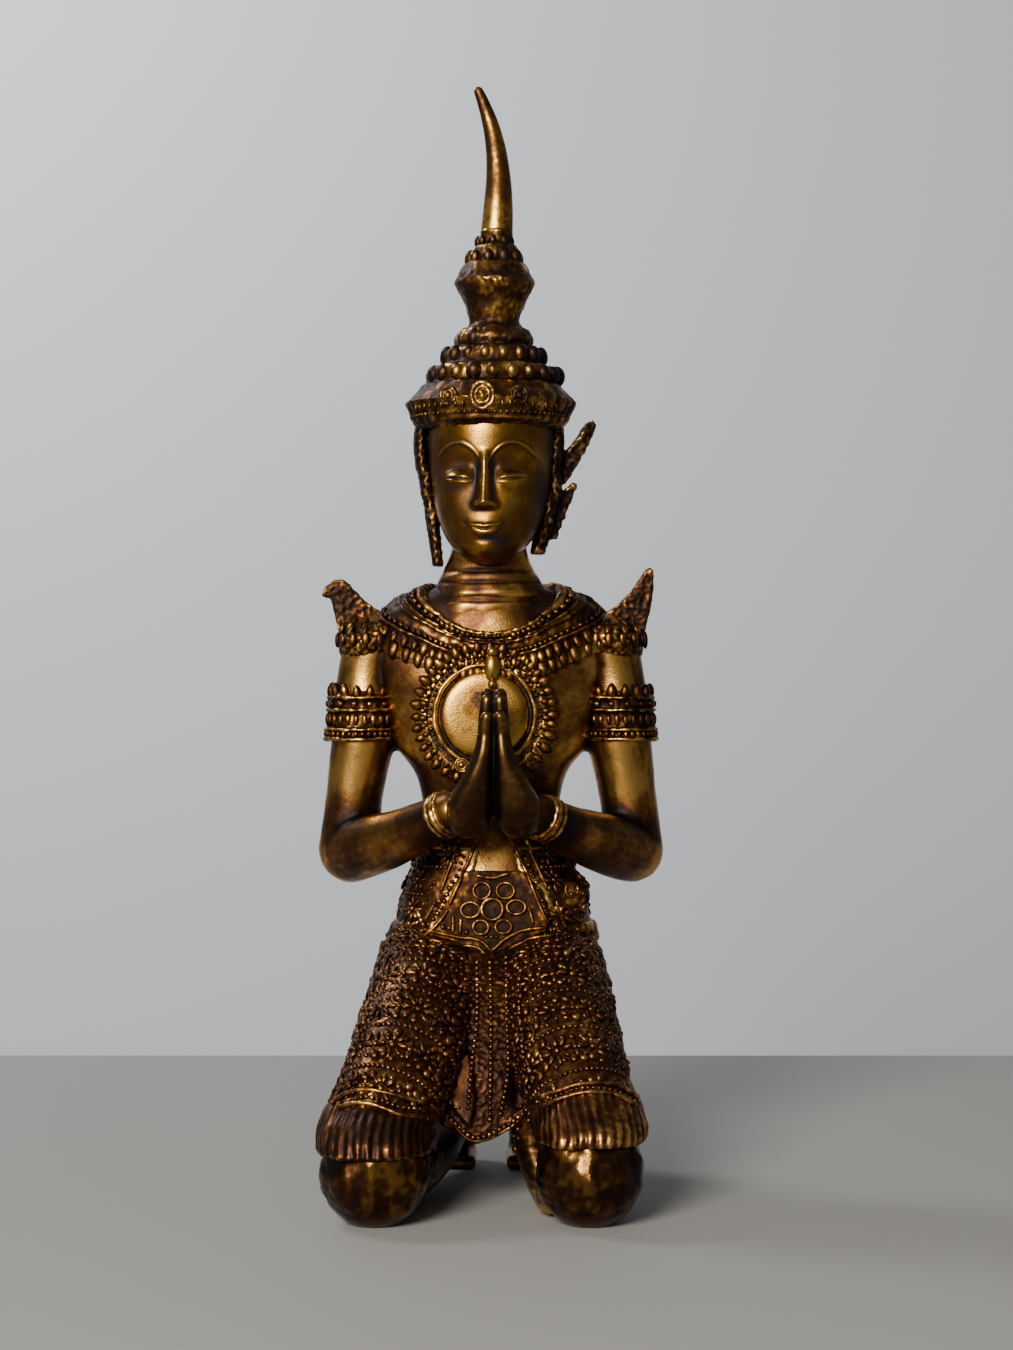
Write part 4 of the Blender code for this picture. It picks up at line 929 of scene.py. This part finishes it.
# ---- Cloth on the thighs -------------------------------------------------------------------------------
# A cloth wrapped tight round hips and thighs, cast with them and covered with stars, beads and pellets of
# applied wax. The leaf is broken into specks, and the lacquer between them has gone dark.
THIGH = [(14.0, 2, 60, 16.2), (16.2, -16, 52, 15.9), (19.3, -32, 43.5, 15.1), (23.6, -46, 33.0, 13.7),
         (28.0, -56, 22.0, 13.2)]
KNEES = {-1: (-29.0, -60.2, 13.1), 1: (25.2, -60.2, 13.1)}
HIPS = [(46, 0, 7, 23.0, 15.0, 2.2), (54, 0, 5, 27.5, 19.0, 2.2), (64, 0.5, 3, 28.6, 19.9, 2.3),
        (70, 0.8, 2, 27.0, 18.8, 2.3), (76, 0.7, 0.5, 25.4, 17.2, 2.3), (82, 0.7, -0.5, 23.8, 15.6, 2.3),
        (88, 0.6, -0.9, 21.6, 14.0, 2.2), (92, 0.4, -1, 20.2, 13.2, 2.2)]
BARE_BELLY = [(66, 17.5), (80, 13.0), (85.5, 6.4), (92, 5.0), (97, 3.6)]  # z, half width between the straps
NAVEL_X = 1.5
LAP = [(29, -1, -31, 12, 9.5, 2.4), (33, -0.6, -29.5, 16, 11.5, 2.6), (40, 0, -24.5, 18, 13.5, 2.6),
       (50, 0, -16.5, 18, 14, 2.6), (62, 0, -8, 17, 12, 2.4)]
INNER_CLOTH = [(1, 15.8, -46, 3.4, 9, 2), (6, 14.6, -44, 4.8, 12, 2), (13, 12.6, -40, 5.6, 15, 2),
               (20, 11.0, -36, 5.4, 14, 2), (28, 11.0, -32, 5.0, 12, 2)]


def leg_rows(stations, side, thigh):
    """Stations of a leg, shifted outwards towards the knee where that knee stands further out."""
    shift = KNEES[side][0] - 28.0 * side
    rows = []
    for x, y, z, radius in stations:
        share = min(1, max(0, (2 - y) / 58)) ** (3 if thigh and side > 0 else 1)
        rows.append((x * side + shift * share, y, z, radius))
    return rows


CLOTH_TONES = [(0.0, "#28160D"), (0.3, "#422615"), (0.55, "#5C381D"), (0.8, "#83592D"), (1.0, "#C69A54")]
# Bright specks on the tips of the wax over dark lacquer.
cloth_gilding = gilt("specks_of_leaf_on_lacquered_wax_relief", CLOTH_TONES, leaf=0.42, patch=1.2, speck=1.6,
                     proud=1.3, shine=(0.42, 0.3), metal=(0.9, 1.0))
cloth_shapes = [column(HIPS), column(LAP), column(INNER_CLOTH), ball((20.0, -5.6, 78.2), (6.4, 6.6, 7.2))]
for side in (-1, 1):
    cloth_shapes += [limb(leg_rows(THIGH, side, True), sides=32),
                     ball((12.5 * side, 12, 56), (15.5, 15.5, 15))]
cloth = melted("thigh_cloth", cloth_shapes, grain=0.7, ease=4)


def bare_half(z):
    return np.interp(z, *np.array(BARE_BELLY, float).T)


def belly_left_bare(points):
    """The cloth sinks below the skin between the straps, so that the navel stays bare."""
    x, y, z = points.T
    return -2.4 * smooth(0, 1.6, bare_half(z) - np.abs(x - NAVEL_X)) * (z > 70) * (y < -4)


FINE_HOLLOWS = ((3, 0.12), (12, 0.5))
raise_relief(cloth, belly_left_bare)
finish(cloth, cloth_gilding, uneven(1.5, 0.22, seed=21), FINE_HOLLOWS)


def skin_over(*objects):
    """The skin of finished pieces."""
    return skin_of(*[(figure_frame(read_points(obj.data)), [face.vertices for face in obj.data.polygons])
                     for obj in objects])


cloth_skin = skin_over(cloth)


def star(spot, normal, heading, arms=8, radius=2.9):
    """Adds a bead with leaves round it, lying on a skin."""
    across = unit(np.cross(normal, heading))
    ahead = np.cross(across, normal)
    leaves = []
    for k in range(arms):
        a = 2 * math.pi * k / arms
        away = ahead * math.cos(a) + across * math.sin(a)
        leaves.append((spot + away * radius, normal, away, 1.0))
    cloth_stars.append((spot, normal, ahead, 1.0))
    cloth_leaves.extend(leaves)


def lengths_along(path):
    """How far each point of a path lies from its start."""
    return np.concatenate([[0], np.cumsum(np.linalg.norm(np.diff(path, axis=0), axis=1))])


def reached(path, lengths, reach):
    """The point of a path that lies as far along it as reach."""
    return np.array([np.interp(reach, lengths, column_values) for column_values in path.T])


cloth_stars, cloth_leaves, cloth_beads, cloth_pellets = [], [], [], []
for side in (-1, 1):
    path = through(leg_rows(THIGH, side, True), 40)[:, :3]
    lengths = lengths_along(path)
    for row_number, reach in enumerate(np.arange(8.6, lengths[-1] - 5, 2.9)):
        middle = reached(path, lengths, reach)
        ahead = reached(path, lengths, reach + 1) - middle
        level = unit(np.cross(ahead, (0, 0, 1.0)))
        above = unit(np.cross(level, ahead))
        stars = row_number % 4 == 0
        count = (18, 34, 60, 34)[row_number % 4]
        for k in range(count):
            a = 2 * math.pi * (k + 0.5 * (row_number % 8 > 3)) / count
            away = level * math.cos(a) + above * math.sin(a)
            if away[2] < -0.55:
                continue
            astray = 0.8 * math.sin(9 * k) if row_number % 2 else 0
            found = laid_on(cloth_skin, middle + ahead * astray, away)
            if found is None or found[0][2] < 30 and found[0][1] < -50:
                continue
            if stars:
                star(*found, ahead, *((8, 2.9) if k % 2 else (4, 1.7)))
            elif row_number % 4 == 2:
                cloth_beads.append((*found, ahead, 1.0))
            else:
                askew = ahead + level * 2 * math.sin(7 * k)
                cloth_pellets.append((*found, askew, 1.0 + 0.35 * math.sin(5 * k)))
for row_number, z in enumerate((50.5, 56.0, 61.5, 67.0, 75.0, 79.0, 83.0, 86.5, 90.0)):
    count = 96 if row_number % 2 else 15
    for k in range(count):
        a = 2 * math.pi * (k + 0.5) / count
        found = laid_on(cloth_skin, (0, 0, z), (math.cos(a), math.sin(a), 0))
        if found is None or found[0][1] < -6 and (z < 66 or abs(found[0][0] - NAVEL_X) < 6 + bare_half(z)):
            continue
        if row_number % 2:
            cloth_beads.append((*found, (0, 0, 1), 1.0))
        else:
            star(*found, (0, 0, 1), radius=2.3)
applied("cloth_star_centres", cloth_stars, cloth_gilding, 2.2, 2.2, 1.8, sides=10)
applied("cloth_star_leaves", cloth_leaves, cloth_gilding, 3.5, 2.1, 1.3, taper=0.5, sides=7, seed=3)
applied("cloth_bead_rows", cloth_beads, cloth_gilding, 1.5, 1.5, 1.3, sides=6, seed=5)
applied("cloth_pellets", cloth_pellets, cloth_gilding, 2.7, 2.0, 1.5, sides=7, seed=12)

# ---- Belt ----------------------------------------------------------------------------------------------
# A belt with a shield-shaped plate low on the belly, under a flower of six ringed petals. A beaded strap
# runs down each side of the navel to the plate. Sheet wax and threads, gilded.
BELT_SHIELD = [(-18, 68.5), (-14, 76), (-10, 82), (-7, 85.5), (9, 85.5), (12, 82), (15.5, 75), (15, 69),
               (7.5, 66.5), (-0.4, 61.6), (-6, 64.8)]
SHIELD_LEAN = 9  # degrees back from upright
CAMERA_HOME = (4.26, -729.0, 138.4)
FOCAL_PIXELS = 2650
PICTURE_HEIGHT = 1350
PICTURE_MIDDLE = (506.5, 675.0)
BELT = [  # z, centre x and y, half width, half depth, squareness
    (65.2, 0.5, 2.8, 29.0, 20.4, 2.3), (66.4, 0.5, 2.6, 29.6, 21.0, 2.3), (68.2, 0.6, 2.2, 28.8, 20.2, 2.3),
    (70.0, 0.8, 1.9, 28.4, 19.9, 2.3), (71.2, 0.8, 1.6, 27.2, 18.6, 2.3),
]


def leaned(shape, pivot, degrees):
    points, faces = shape
    turn = np.array(Matrix.Rotation(math.radians(-degrees), 3, "X"))
    return (points - pivot) @ turn.T + pivot, faces


def seen(skin, px, py):
    """The spot of a skin that the photograph shows at a pixel, and the way it faces."""
    way = (px - PICTURE_MIDDLE[0], FOCAL_PIXELS, PICTURE_MIDDLE[1] - py)
    return laid_on(skin, CAMERA_HOME, way, reach=900)


belt_shapes = [column(BELT), leaned(slab(BELT_SHIELD, -15.4, 4.6), (0, -15.2, 74), SHIELD_LEAN)]
# Like the collar's, with less leaf left on the flat plate.
belt_gilding = gilt("gold_leaf_worn_on_the_belt", COLLAR_TONES, leaf=0.34, patch=1.4, speck=1.8, proud=1.0,
                    metal=(0.88, 1.0))
belt = finish(melted("belt_and_plate", belt_shapes, grain=0.56, ease=5), belt_gilding,
              uneven(1.6, 0.22, seed=24), FINE_HOLLOWS, [(1.5, -17, 87, 6, 0.6), (1, -19, 74, 15, 0.4)])

front_skin = skin_over(body, cloth, belt)
STRAP_LINES = [  # pixels of the photograph along each raised edge of the two straps
    [(460, 841), (451, 865), (442, 889)], [(480, 831), (474, 848), (466, 867), (450, 903)],
    [(447, 911), (440, 921), (429, 932), (408, 947)], [(435, 903), (427, 918)],
    [(505, 829), (511, 841), (521, 861), (530, 882), (541, 909), (551, 931)],
    [(526, 841), (534, 860), (546, 887)], [(556, 908), (565, 927)],
    [(431, 931), (456, 937), (474, 939), (484, 943), (492, 950), (504, 940), (522, 931), (542, 928)],
    [(424, 938), (446, 944), (476, 947), (489, 957), (506, 949), (528, 940), (553, 936)],
    [(574, 872), (584, 884), (587, 898), (582, 908)], [(453, 917), (453, 931)], [(461, 920), (460, 932)],
    [(529, 908), (533, 923)], [(478, 876), (492, 878), (508, 874)],
]
FLOWER_RINGS = [  # centre, half width and half height of each ring of thread, in pixels of the photograph
    (492.2, 909.4, 10.6, 10.6), (481.9, 890.8, 8.4, 8.2), (505.4, 890.8, 8.8, 7.8), (470.4, 910.0, 9.4, 7.6),
    (516.2, 907.4, 9.4, 7.0), (480.8, 927.4, 7.8, 7.0), (503.4, 926.8, 8.0, 6.8),
    (571.5, 890.0, 6.0, 6.6), (578.0, 914.0, 5.4, 6.0), (565.0, 911.0, 4.6, 5.0),
]


def thread(skin, pixels, radius, steps=6):
    """A thread of wax laid on a skin along pixels of the photograph."""
    found = [seen(skin, px, py) for px, py in through(pixels, steps)]
    rows = [(*(spot + normal * radius * 0.5), radius) for spot, normal in (f for f in found if f)]
    return limb(rows, steps=1, sides=8)


def bead_line(skin, pixels, spacing):
    """Spots evenly spaced in pixels along a line on the photograph."""
    line = through(pixels, 20)
    lengths = lengths_along(line)
    for reach in np.arange(spacing / 2, lengths[-1], spacing):
        found = seen(skin, *reached(line, lengths, reach))
        if found:
            yield (*found, (0, 0, 1), 1.0)


def ring_line(cx, cy, half_width, half_height):
    turn = 2 * math.pi * np.arange(13) / 12
    return oval(turn, 2) * (half_width, half_height) + (cx, cy)


LOW_HOLLOWS = ((2, 0.1),)
strap_threads = [thread(front_skin, line, 0.55) for line in STRAP_LINES]
flower_threads = [thread(front_skin, ring_line(*ring), 0.62 if ring[2] > 10 else 0.5, steps=3)
                  for ring in FLOWER_RINGS]
finish(shape_object("belt_threads_and_flower", strap_threads + flower_threads), collar_gilding,
       spans=LOW_HOLLOWS)
strap_beads = []
for spacing, line in ((7, [(464, 853), (459, 872), (451, 885), (441, 908), (427, 926), (414, 936)]),
                      (6.4, [(518, 838), (529, 866), (538, 887), (546, 911), (561, 933)]),
                      (6, [(436, 880), (429, 893), (420, 912)]), (6, [(440, 926), (470, 933)]),
                      (5, [(484, 937), (498, 937)])):
    strap_beads += bead_line(front_skin, line, spacing)
applied("strap_beads", strap_beads, collar_gilding, 1.5, 1.5, 1.3)

# ---- Sash ----------------------------------------------------------------------------------------------
# The end of the cloth hangs from the belt between the thighs and spreads into a broad point over the gap
# between the knees. It is cast metal too, with rows of small beads and a smooth leaf-shaped flap low down.
SASH = [(17.0, -4.7, -3.7, -43.6, 1.4), (18.4, -6.6, -0.5, -43.4, 2.0), (20.4, -9.6, 3.7, -43.0, 2.4),
        (22.8, -12.6, 6.4, -42.4, 2.6), (25.0, -15.0, 9.6, -41.6, 2.8), (28.4, -16.2, 13.0, -40.6, 3.0),
        (32.0, -16.0, 13.6, -39.6, 3.2), (37, -14.2, 12.6, -37.4, 3.4), (44, -11.0, 10.2, -33.4, 3.6),
        (52, -8.8, 8.6, -28.2, 3.8), (60, -7.8, 8.2, -21.0, 4.0), (68, -7.4, 8.2, -11.0, 4.0)]
sash_levels = [(z, (a + b) / 2, y, (b - a) / 2, t, 3.2) for z, a, b, y, t in SASH]
sash_shapes = [column(sash_levels, steps=4, sides=80)]
SASH_EDGES = [(-0.82, 1.7), (0.84, 1.7)]  # place of a raised edge, as a share of half the width; its radius
for share, radius in SASH_EDGES:
    sash_shapes.append(limb([((a + b) / 2 + share * (b - a) / 2, y - t + radius - 0.5, z, radius)
                             for z, a, b, y, t in SASH[3:-1]]))
SASH_FLAP = [(22.0, -5.4, 0.4), (25.0, -6.4, 2.2), (29.0, -7.4, 3.6), (33.0, -7.8, 3.6), (37.0, -7.0, 2.2),
             (40.0, -5.6, 0.3)]  # z, middle and half width of a smooth leaf-shaped flap in front
SASH_DENT = (7.4, 31.8, 2.2, 5.2)  # x, z, half width and half height of a fold that sinks in beside it


def sash_relief(points):
    """Rough wax round a smooth flap that stands out, with the fold that sinks in beside it."""
    x, y, z = points.T
    leaf = np.array(SASH_FLAP).T
    inside = np.interp(z, leaf[0], leaf[2]) - np.abs(x - np.interp(z, leaf[0], leaf[1]))
    flap = smooth(-0.3, 0.5, inside) * smooth(21, 23, z) * smooth(41, 39, z)
    dent = np.exp(-((x - SASH_DENT[0]) / SASH_DENT[2]) ** 2 - ((z - SASH_DENT[1]) / SASH_DENT[3]) ** 2)
    return uneven(1.0, 0.34, seed=27)(points) * (1 - flap) + (0.9 * flap - 1.9 * dent) * (y < -36)


SASH_TONES = [(0.0, "#27150B"), (0.3, "#3F2411"), (0.55, "#573518"), (0.8, "#82592A"), (1.0, "#BC8E48")]
# Mostly lacquer: red-brown and dull beside the gilded cloth.
sash_metal = gilt("red_brown_lacquer_with_little_leaf", SASH_TONES, leaf=0.34, patch=1.2, speck=1.4,
                  shine=(0.46, 0.32), metal=(0.92, 1.0))
sash = finish(melted("sash", sash_shapes, grain=0.45, ease=3), sash_metal, sash_relief, FINE_HOLLOWS,
              # Less leaf over the sash, more on the flap, and painted shade in the fold beside the flap.
              [(0, -44, 34, 24, 0.4), (-7, -43, 32, 9, -0.35), (7.4, -42, 32, 6, 0.6)])
sash_skin = skin_over(sash, cloth)
sash_beads = []
for line in ([(477, 960), (477, 1020), (472, 1062), (468, 1112)], [(490, 960), (491, 1030), (490, 1122)],
             [(506, 955), (507, 1020), (508, 1070), (500, 1118)], [(518, 960), (520, 1020), (524, 1060)],
             [(436, 1108), (456, 1124), (476, 1138), (506, 1126), (530, 1108)]):
    sash_beads += bead_line(sash_skin, line, 5.6)
applied("sash_beads", sash_beads, cloth_gilding, 1.8, 1.8, 1.7, sides=6)
big_beads = [*bead_line(sash_skin, [(466, 975), (464, 1000), (456, 1024), (447, 1046)], 9),
             *bead_line(sash_skin, [(447, 1050), (438, 1074), (434, 1096)], 9)]
applied("sash_groove_beads", big_beads, cloth_gilding, 2.2, 2.2, 1.9, sides=10)
sash_threads = [thread(sash_skin, line, 0.42) for line in (
    [(431, 1105), (450, 1122), (475, 1141), (508, 1128), (538, 1102)],
    [(459, 1062), (452, 1080), (451, 1103), (459, 1108)],
    [(528, 945), (531, 1000), (534, 1036), (527, 1043)])]
finish(shape_object("sash_threads", sash_threads), cloth_gilding, spans=LOW_HOLLOWS)

# ---- Hems ----------------------------------------------------------------------------------------------
# The cloth ends above each knee in a pleated cuff under two raised bands. The pleats were cut in the wax and
# the bands are threads of wax with a row of beads between them, all cast with the legs.
HEMS = [  # of the left and the right knee: z, centre x and y, half width and half depth
    [(17.4, -29.2, -57.6, 12.0, 13.4), (18.2, -29.3, -58.4, 14.2, 16.0), (20.0, -29.4, -58.2, 14.5, 16.2),
     (23.4, -29.4, -57.0, 14.3, 15.6), (27.6, -28.6, -54.5, 13.6, 14.6), (30.2, -28.0, -52.4, 12.8, 14.2),
     (33.6, -26.2, -49.0, 12.0, 13.8), (35.4, -25.2, -47.0, 11.0, 12.6)],
    [(20.2, 25.4, -58.2, 12.0, 13.4), (21.2, 25.6, -57.8, 14.0, 15.6), (23.9, 25.8, -57.0, 14.2, 15.8),
     (28.1, 25.2, -54.5, 13.8, 14.8), (31.3, 24.4, -52.0, 13.2, 14.2), (34.4, 23.6, -49.0, 12.4, 13.8),
     (36.6, 22.8, -46.6, 11.2, 12.8)],
]
HEM_FLUTES = 35
hem_shapes = [column([(*row, 2) for row in hem], steps=7, sides=280, flutes=HEM_FLUTES, flute_depth=0.013)
              for hem in HEMS]
hems = finish(shape_object("pleated_hems", hem_shapes), cloth_gilding, uneven(4.5, 0.6, seed=31),
              ((4, 0.16), (14, 0.6)), [(-28, -66, 24, 16, 0.45)])
hem_skin = skin_over(hems, cloth)
HEM_LINES = [  # pixels of the photograph along the raised bands
    [(333, 1103), (348, 1094), (366, 1090), (385, 1093), (404, 1098), (423, 1102)],
    [(340, 1108), (352, 1104), (368, 1104), (384, 1109), (400, 1115), (422, 1117)],
    [(541, 1098), (560, 1091), (583, 1084), (614, 1085), (637, 1097)],
    [(545, 1106), (562, 1099), (585, 1093), (612, 1094), (634, 1105)],
]
hem_threads = [thread(hem_skin, line, 0.6) for line in HEM_LINES]
finish(shape_object("hem_bands", hem_threads), cloth_gilding, spans=LOW_HOLLOWS)
hem_beads = [*bead_line(hem_skin, [(338, 1106), (366, 1097), (400, 1107), (421, 1109)], 5.5),
             *bead_line(hem_skin, [(544, 1102), (560, 1095), (583, 1088), (614, 1090), (635, 1101)], 5.5)]
applied("hem_beads", hem_beads, cloth_gilding, 1.3, 1.3, 1.2, sides=6)

# ---- Knees, shins and feet -----------------------------------------------------------------------------
# Bare again below the hems. The figure stands on its knees and on its tucked toes, whose undersides are
# filed flat. The knees are smooth and darkened, the feet behind nearly black.
CALF = [(28.0, -56, 12.0, 12.2), (25.0, -40, 12.5, 12.8), (20.0, -20, 14.0, 12.4), (15.2, 0, 15.0, 9.2),
        (12.6, 13, 17.0, 7.2)]
FOOT = [(12.2, 15, 19, 6.6), (11.8, 22, 32, 7.0), (11.4, 24, 22, 6.6), (11.2, 25, 11, 6.6),
        (11.2, 23.0, 5.0, 6.0)]
KNEE_RADII = (13.9, 13.4, 14.5)
leg_shapes = []
for side, knee in KNEES.items():
    leg_shapes += [limb(leg_rows(CALF, side, False), sides=32),
                   limb(on_side(FOOT, side), sides=28),
                   ball(knee, KNEE_RADII, sides=36)]
    for k, size in enumerate((2.6, 2.2, 2.1, 2.0, 1.8)):
        toe = (6.6 + 2.5 * k) * side
        leg_shapes.append(limb([(toe, 22, 4.0, size), (toe, 14.0 + 0.5 * k, 1.6, size * 0.95)], sides=16))
    for k in (-1, 0, 1):
        leg_shapes.append(limb([(knee[0] + 5.2 * k, knee[1] - 10.4 + 2.2 * abs(k), knee[2] + 9.0, 1.1),
                                (knee[0] + 6.6 * k, knee[1] - 12.9 + 2.2 * abs(k), knee[2] + 1.0, 1.2),
                                (knee[0] + 4.4 * k, knee[1] - 11.6 + 1.4 * abs(k), knee[2] - 6.5, 0.9)]))
legs = melted("knees_shins_and_feet", leg_shapes, grain=0.92, ease=4)
points = read_points(legs.data)
points[:, 2] = np.maximum(points[:, 2], 0)
legs.data.vertices.foreach_set("co", points.ravel())
legs.data.update()


def knee_relief(points):
    """Lumpy wax on the knees, above the flats that they stand on."""
    waves = uneven(5, 0.8, seed=33)(points) + uneven(1.8, 0.3, seed=34)(points)
    return waves * smooth(1.5, 6, points[:, 2]) * smooth(-30, -45, points[:, 1])


KNEE_TONES = [(0.0, "#17110F"), (0.3, "#241710"), (0.55, "#382214"), (0.8, "#50341B"), (1.0, "#775426")]
# Smooth, dark and glossy metal, browner in front where it is rubbed most.
knee_metal = gilt("bronze_rubbed_at_the_knees", KNEE_TONES, leaf=0.44, patch=0.8, speck=0.4,
                  shine=(0.42, 0.26), metal=(0.85, 1.0))
WORN_KNEES = [(-27, -74, 16, 10, -0.3), (22, -74, 15, 9, -0.25), (-38, -66, 12, 10, 0.3),
              (34, -66, 12, 10, 0.35)]
finish(legs, knee_metal, knee_relief, ((4, 0.16), (14, 0.6)), WORN_KNEES)

# ---- Floor, light and camera ---------------------------------------------------------------------------
# A pale shelf with a white wall well behind it, a soft window at the upper left behind the viewer, and the
# photograph's view, level with the hands.
SHELF = [(-700, -600, -14), (700, 235, -0.05)]  # two opposite corners
WALL = [(-620, 960, -600), (620, 980, 900)]


def block(corners):
    (x0, y0, z0), (x1, y1, z1) = corners
    return stacked([np.array([(x0, y0, z), (x1, y0, z), (x1, y1, z), (x0, y1, z)], float) for z in (z0, z1)])


for name, corners, code in (("pale_shelf", SHELF, "#8F8D89"), ("white_wall", WALL, "#D6D9DD")):
    stage_piece = shape_object(name, [block(corners)])
    stage_piece.data.shade_flat()
    paint = bpy.data.materials.new("matt_paint_on_the_" + name)
    paint.use_nodes = True
    inputs = paint.node_tree.nodes["Principled BSDF"].inputs
    inputs["Base Color"].default_value, inputs["Roughness"].default_value = colour(code), 0.8
    stage_piece.data.materials.append(paint)


def soft_light(name, place, at, size, power, tint):
    lamp = bpy.data.lights.new(name, "AREA")
    lamp.shape = "DISK"
    lamp.size, lamp.energy, lamp.color = size, power, colour(tint)[:3]
    obj = bpy.data.objects.new(name, lamp)
    obj.location = place
    obj.rotation_euler = (Vector(at) - Vector(place)).to_track_quat("-Z", "Y").to_euler()
    bpy.context.scene.collection.objects.link(obj)


soft_light("window", (-0.40, -1.04, 0.56), at=(0, 0, 0.14), size=0.5, power=24.0, tint="#FFFBF4")
soft_light("light_on_the_wall", (-0.62, 0.42, 0.9), at=(-0.28, 0.96, 0.2), size=0.4, power=8.6,
           tint="#F7FAFF")

world = bpy.context.scene.world or bpy.data.worlds.new("studio")
bpy.context.scene.world = world
world.use_nodes = True
inputs = world.node_tree.nodes["Background"].inputs
inputs["Color"].default_value, inputs["Strength"].default_value = colour("#CBCDD1"), 0.3

view = bpy.data.cameras.new("photograph_view")
view.sensor_fit = "VERTICAL"
view.sensor_height = 36
view.lens = view.sensor_height * FOCAL_PIXELS / PICTURE_HEIGHT
view.clip_start = 0.01
camera = bpy.data.objects.new("photograph_view", view)
camera.location = row_frame(CAMERA_HOME)
camera.rotation_euler = (math.pi / 2, 0, 0)
bpy.context.scene.collection.objects.link(camera)
bpy.context.scene.camera = camera
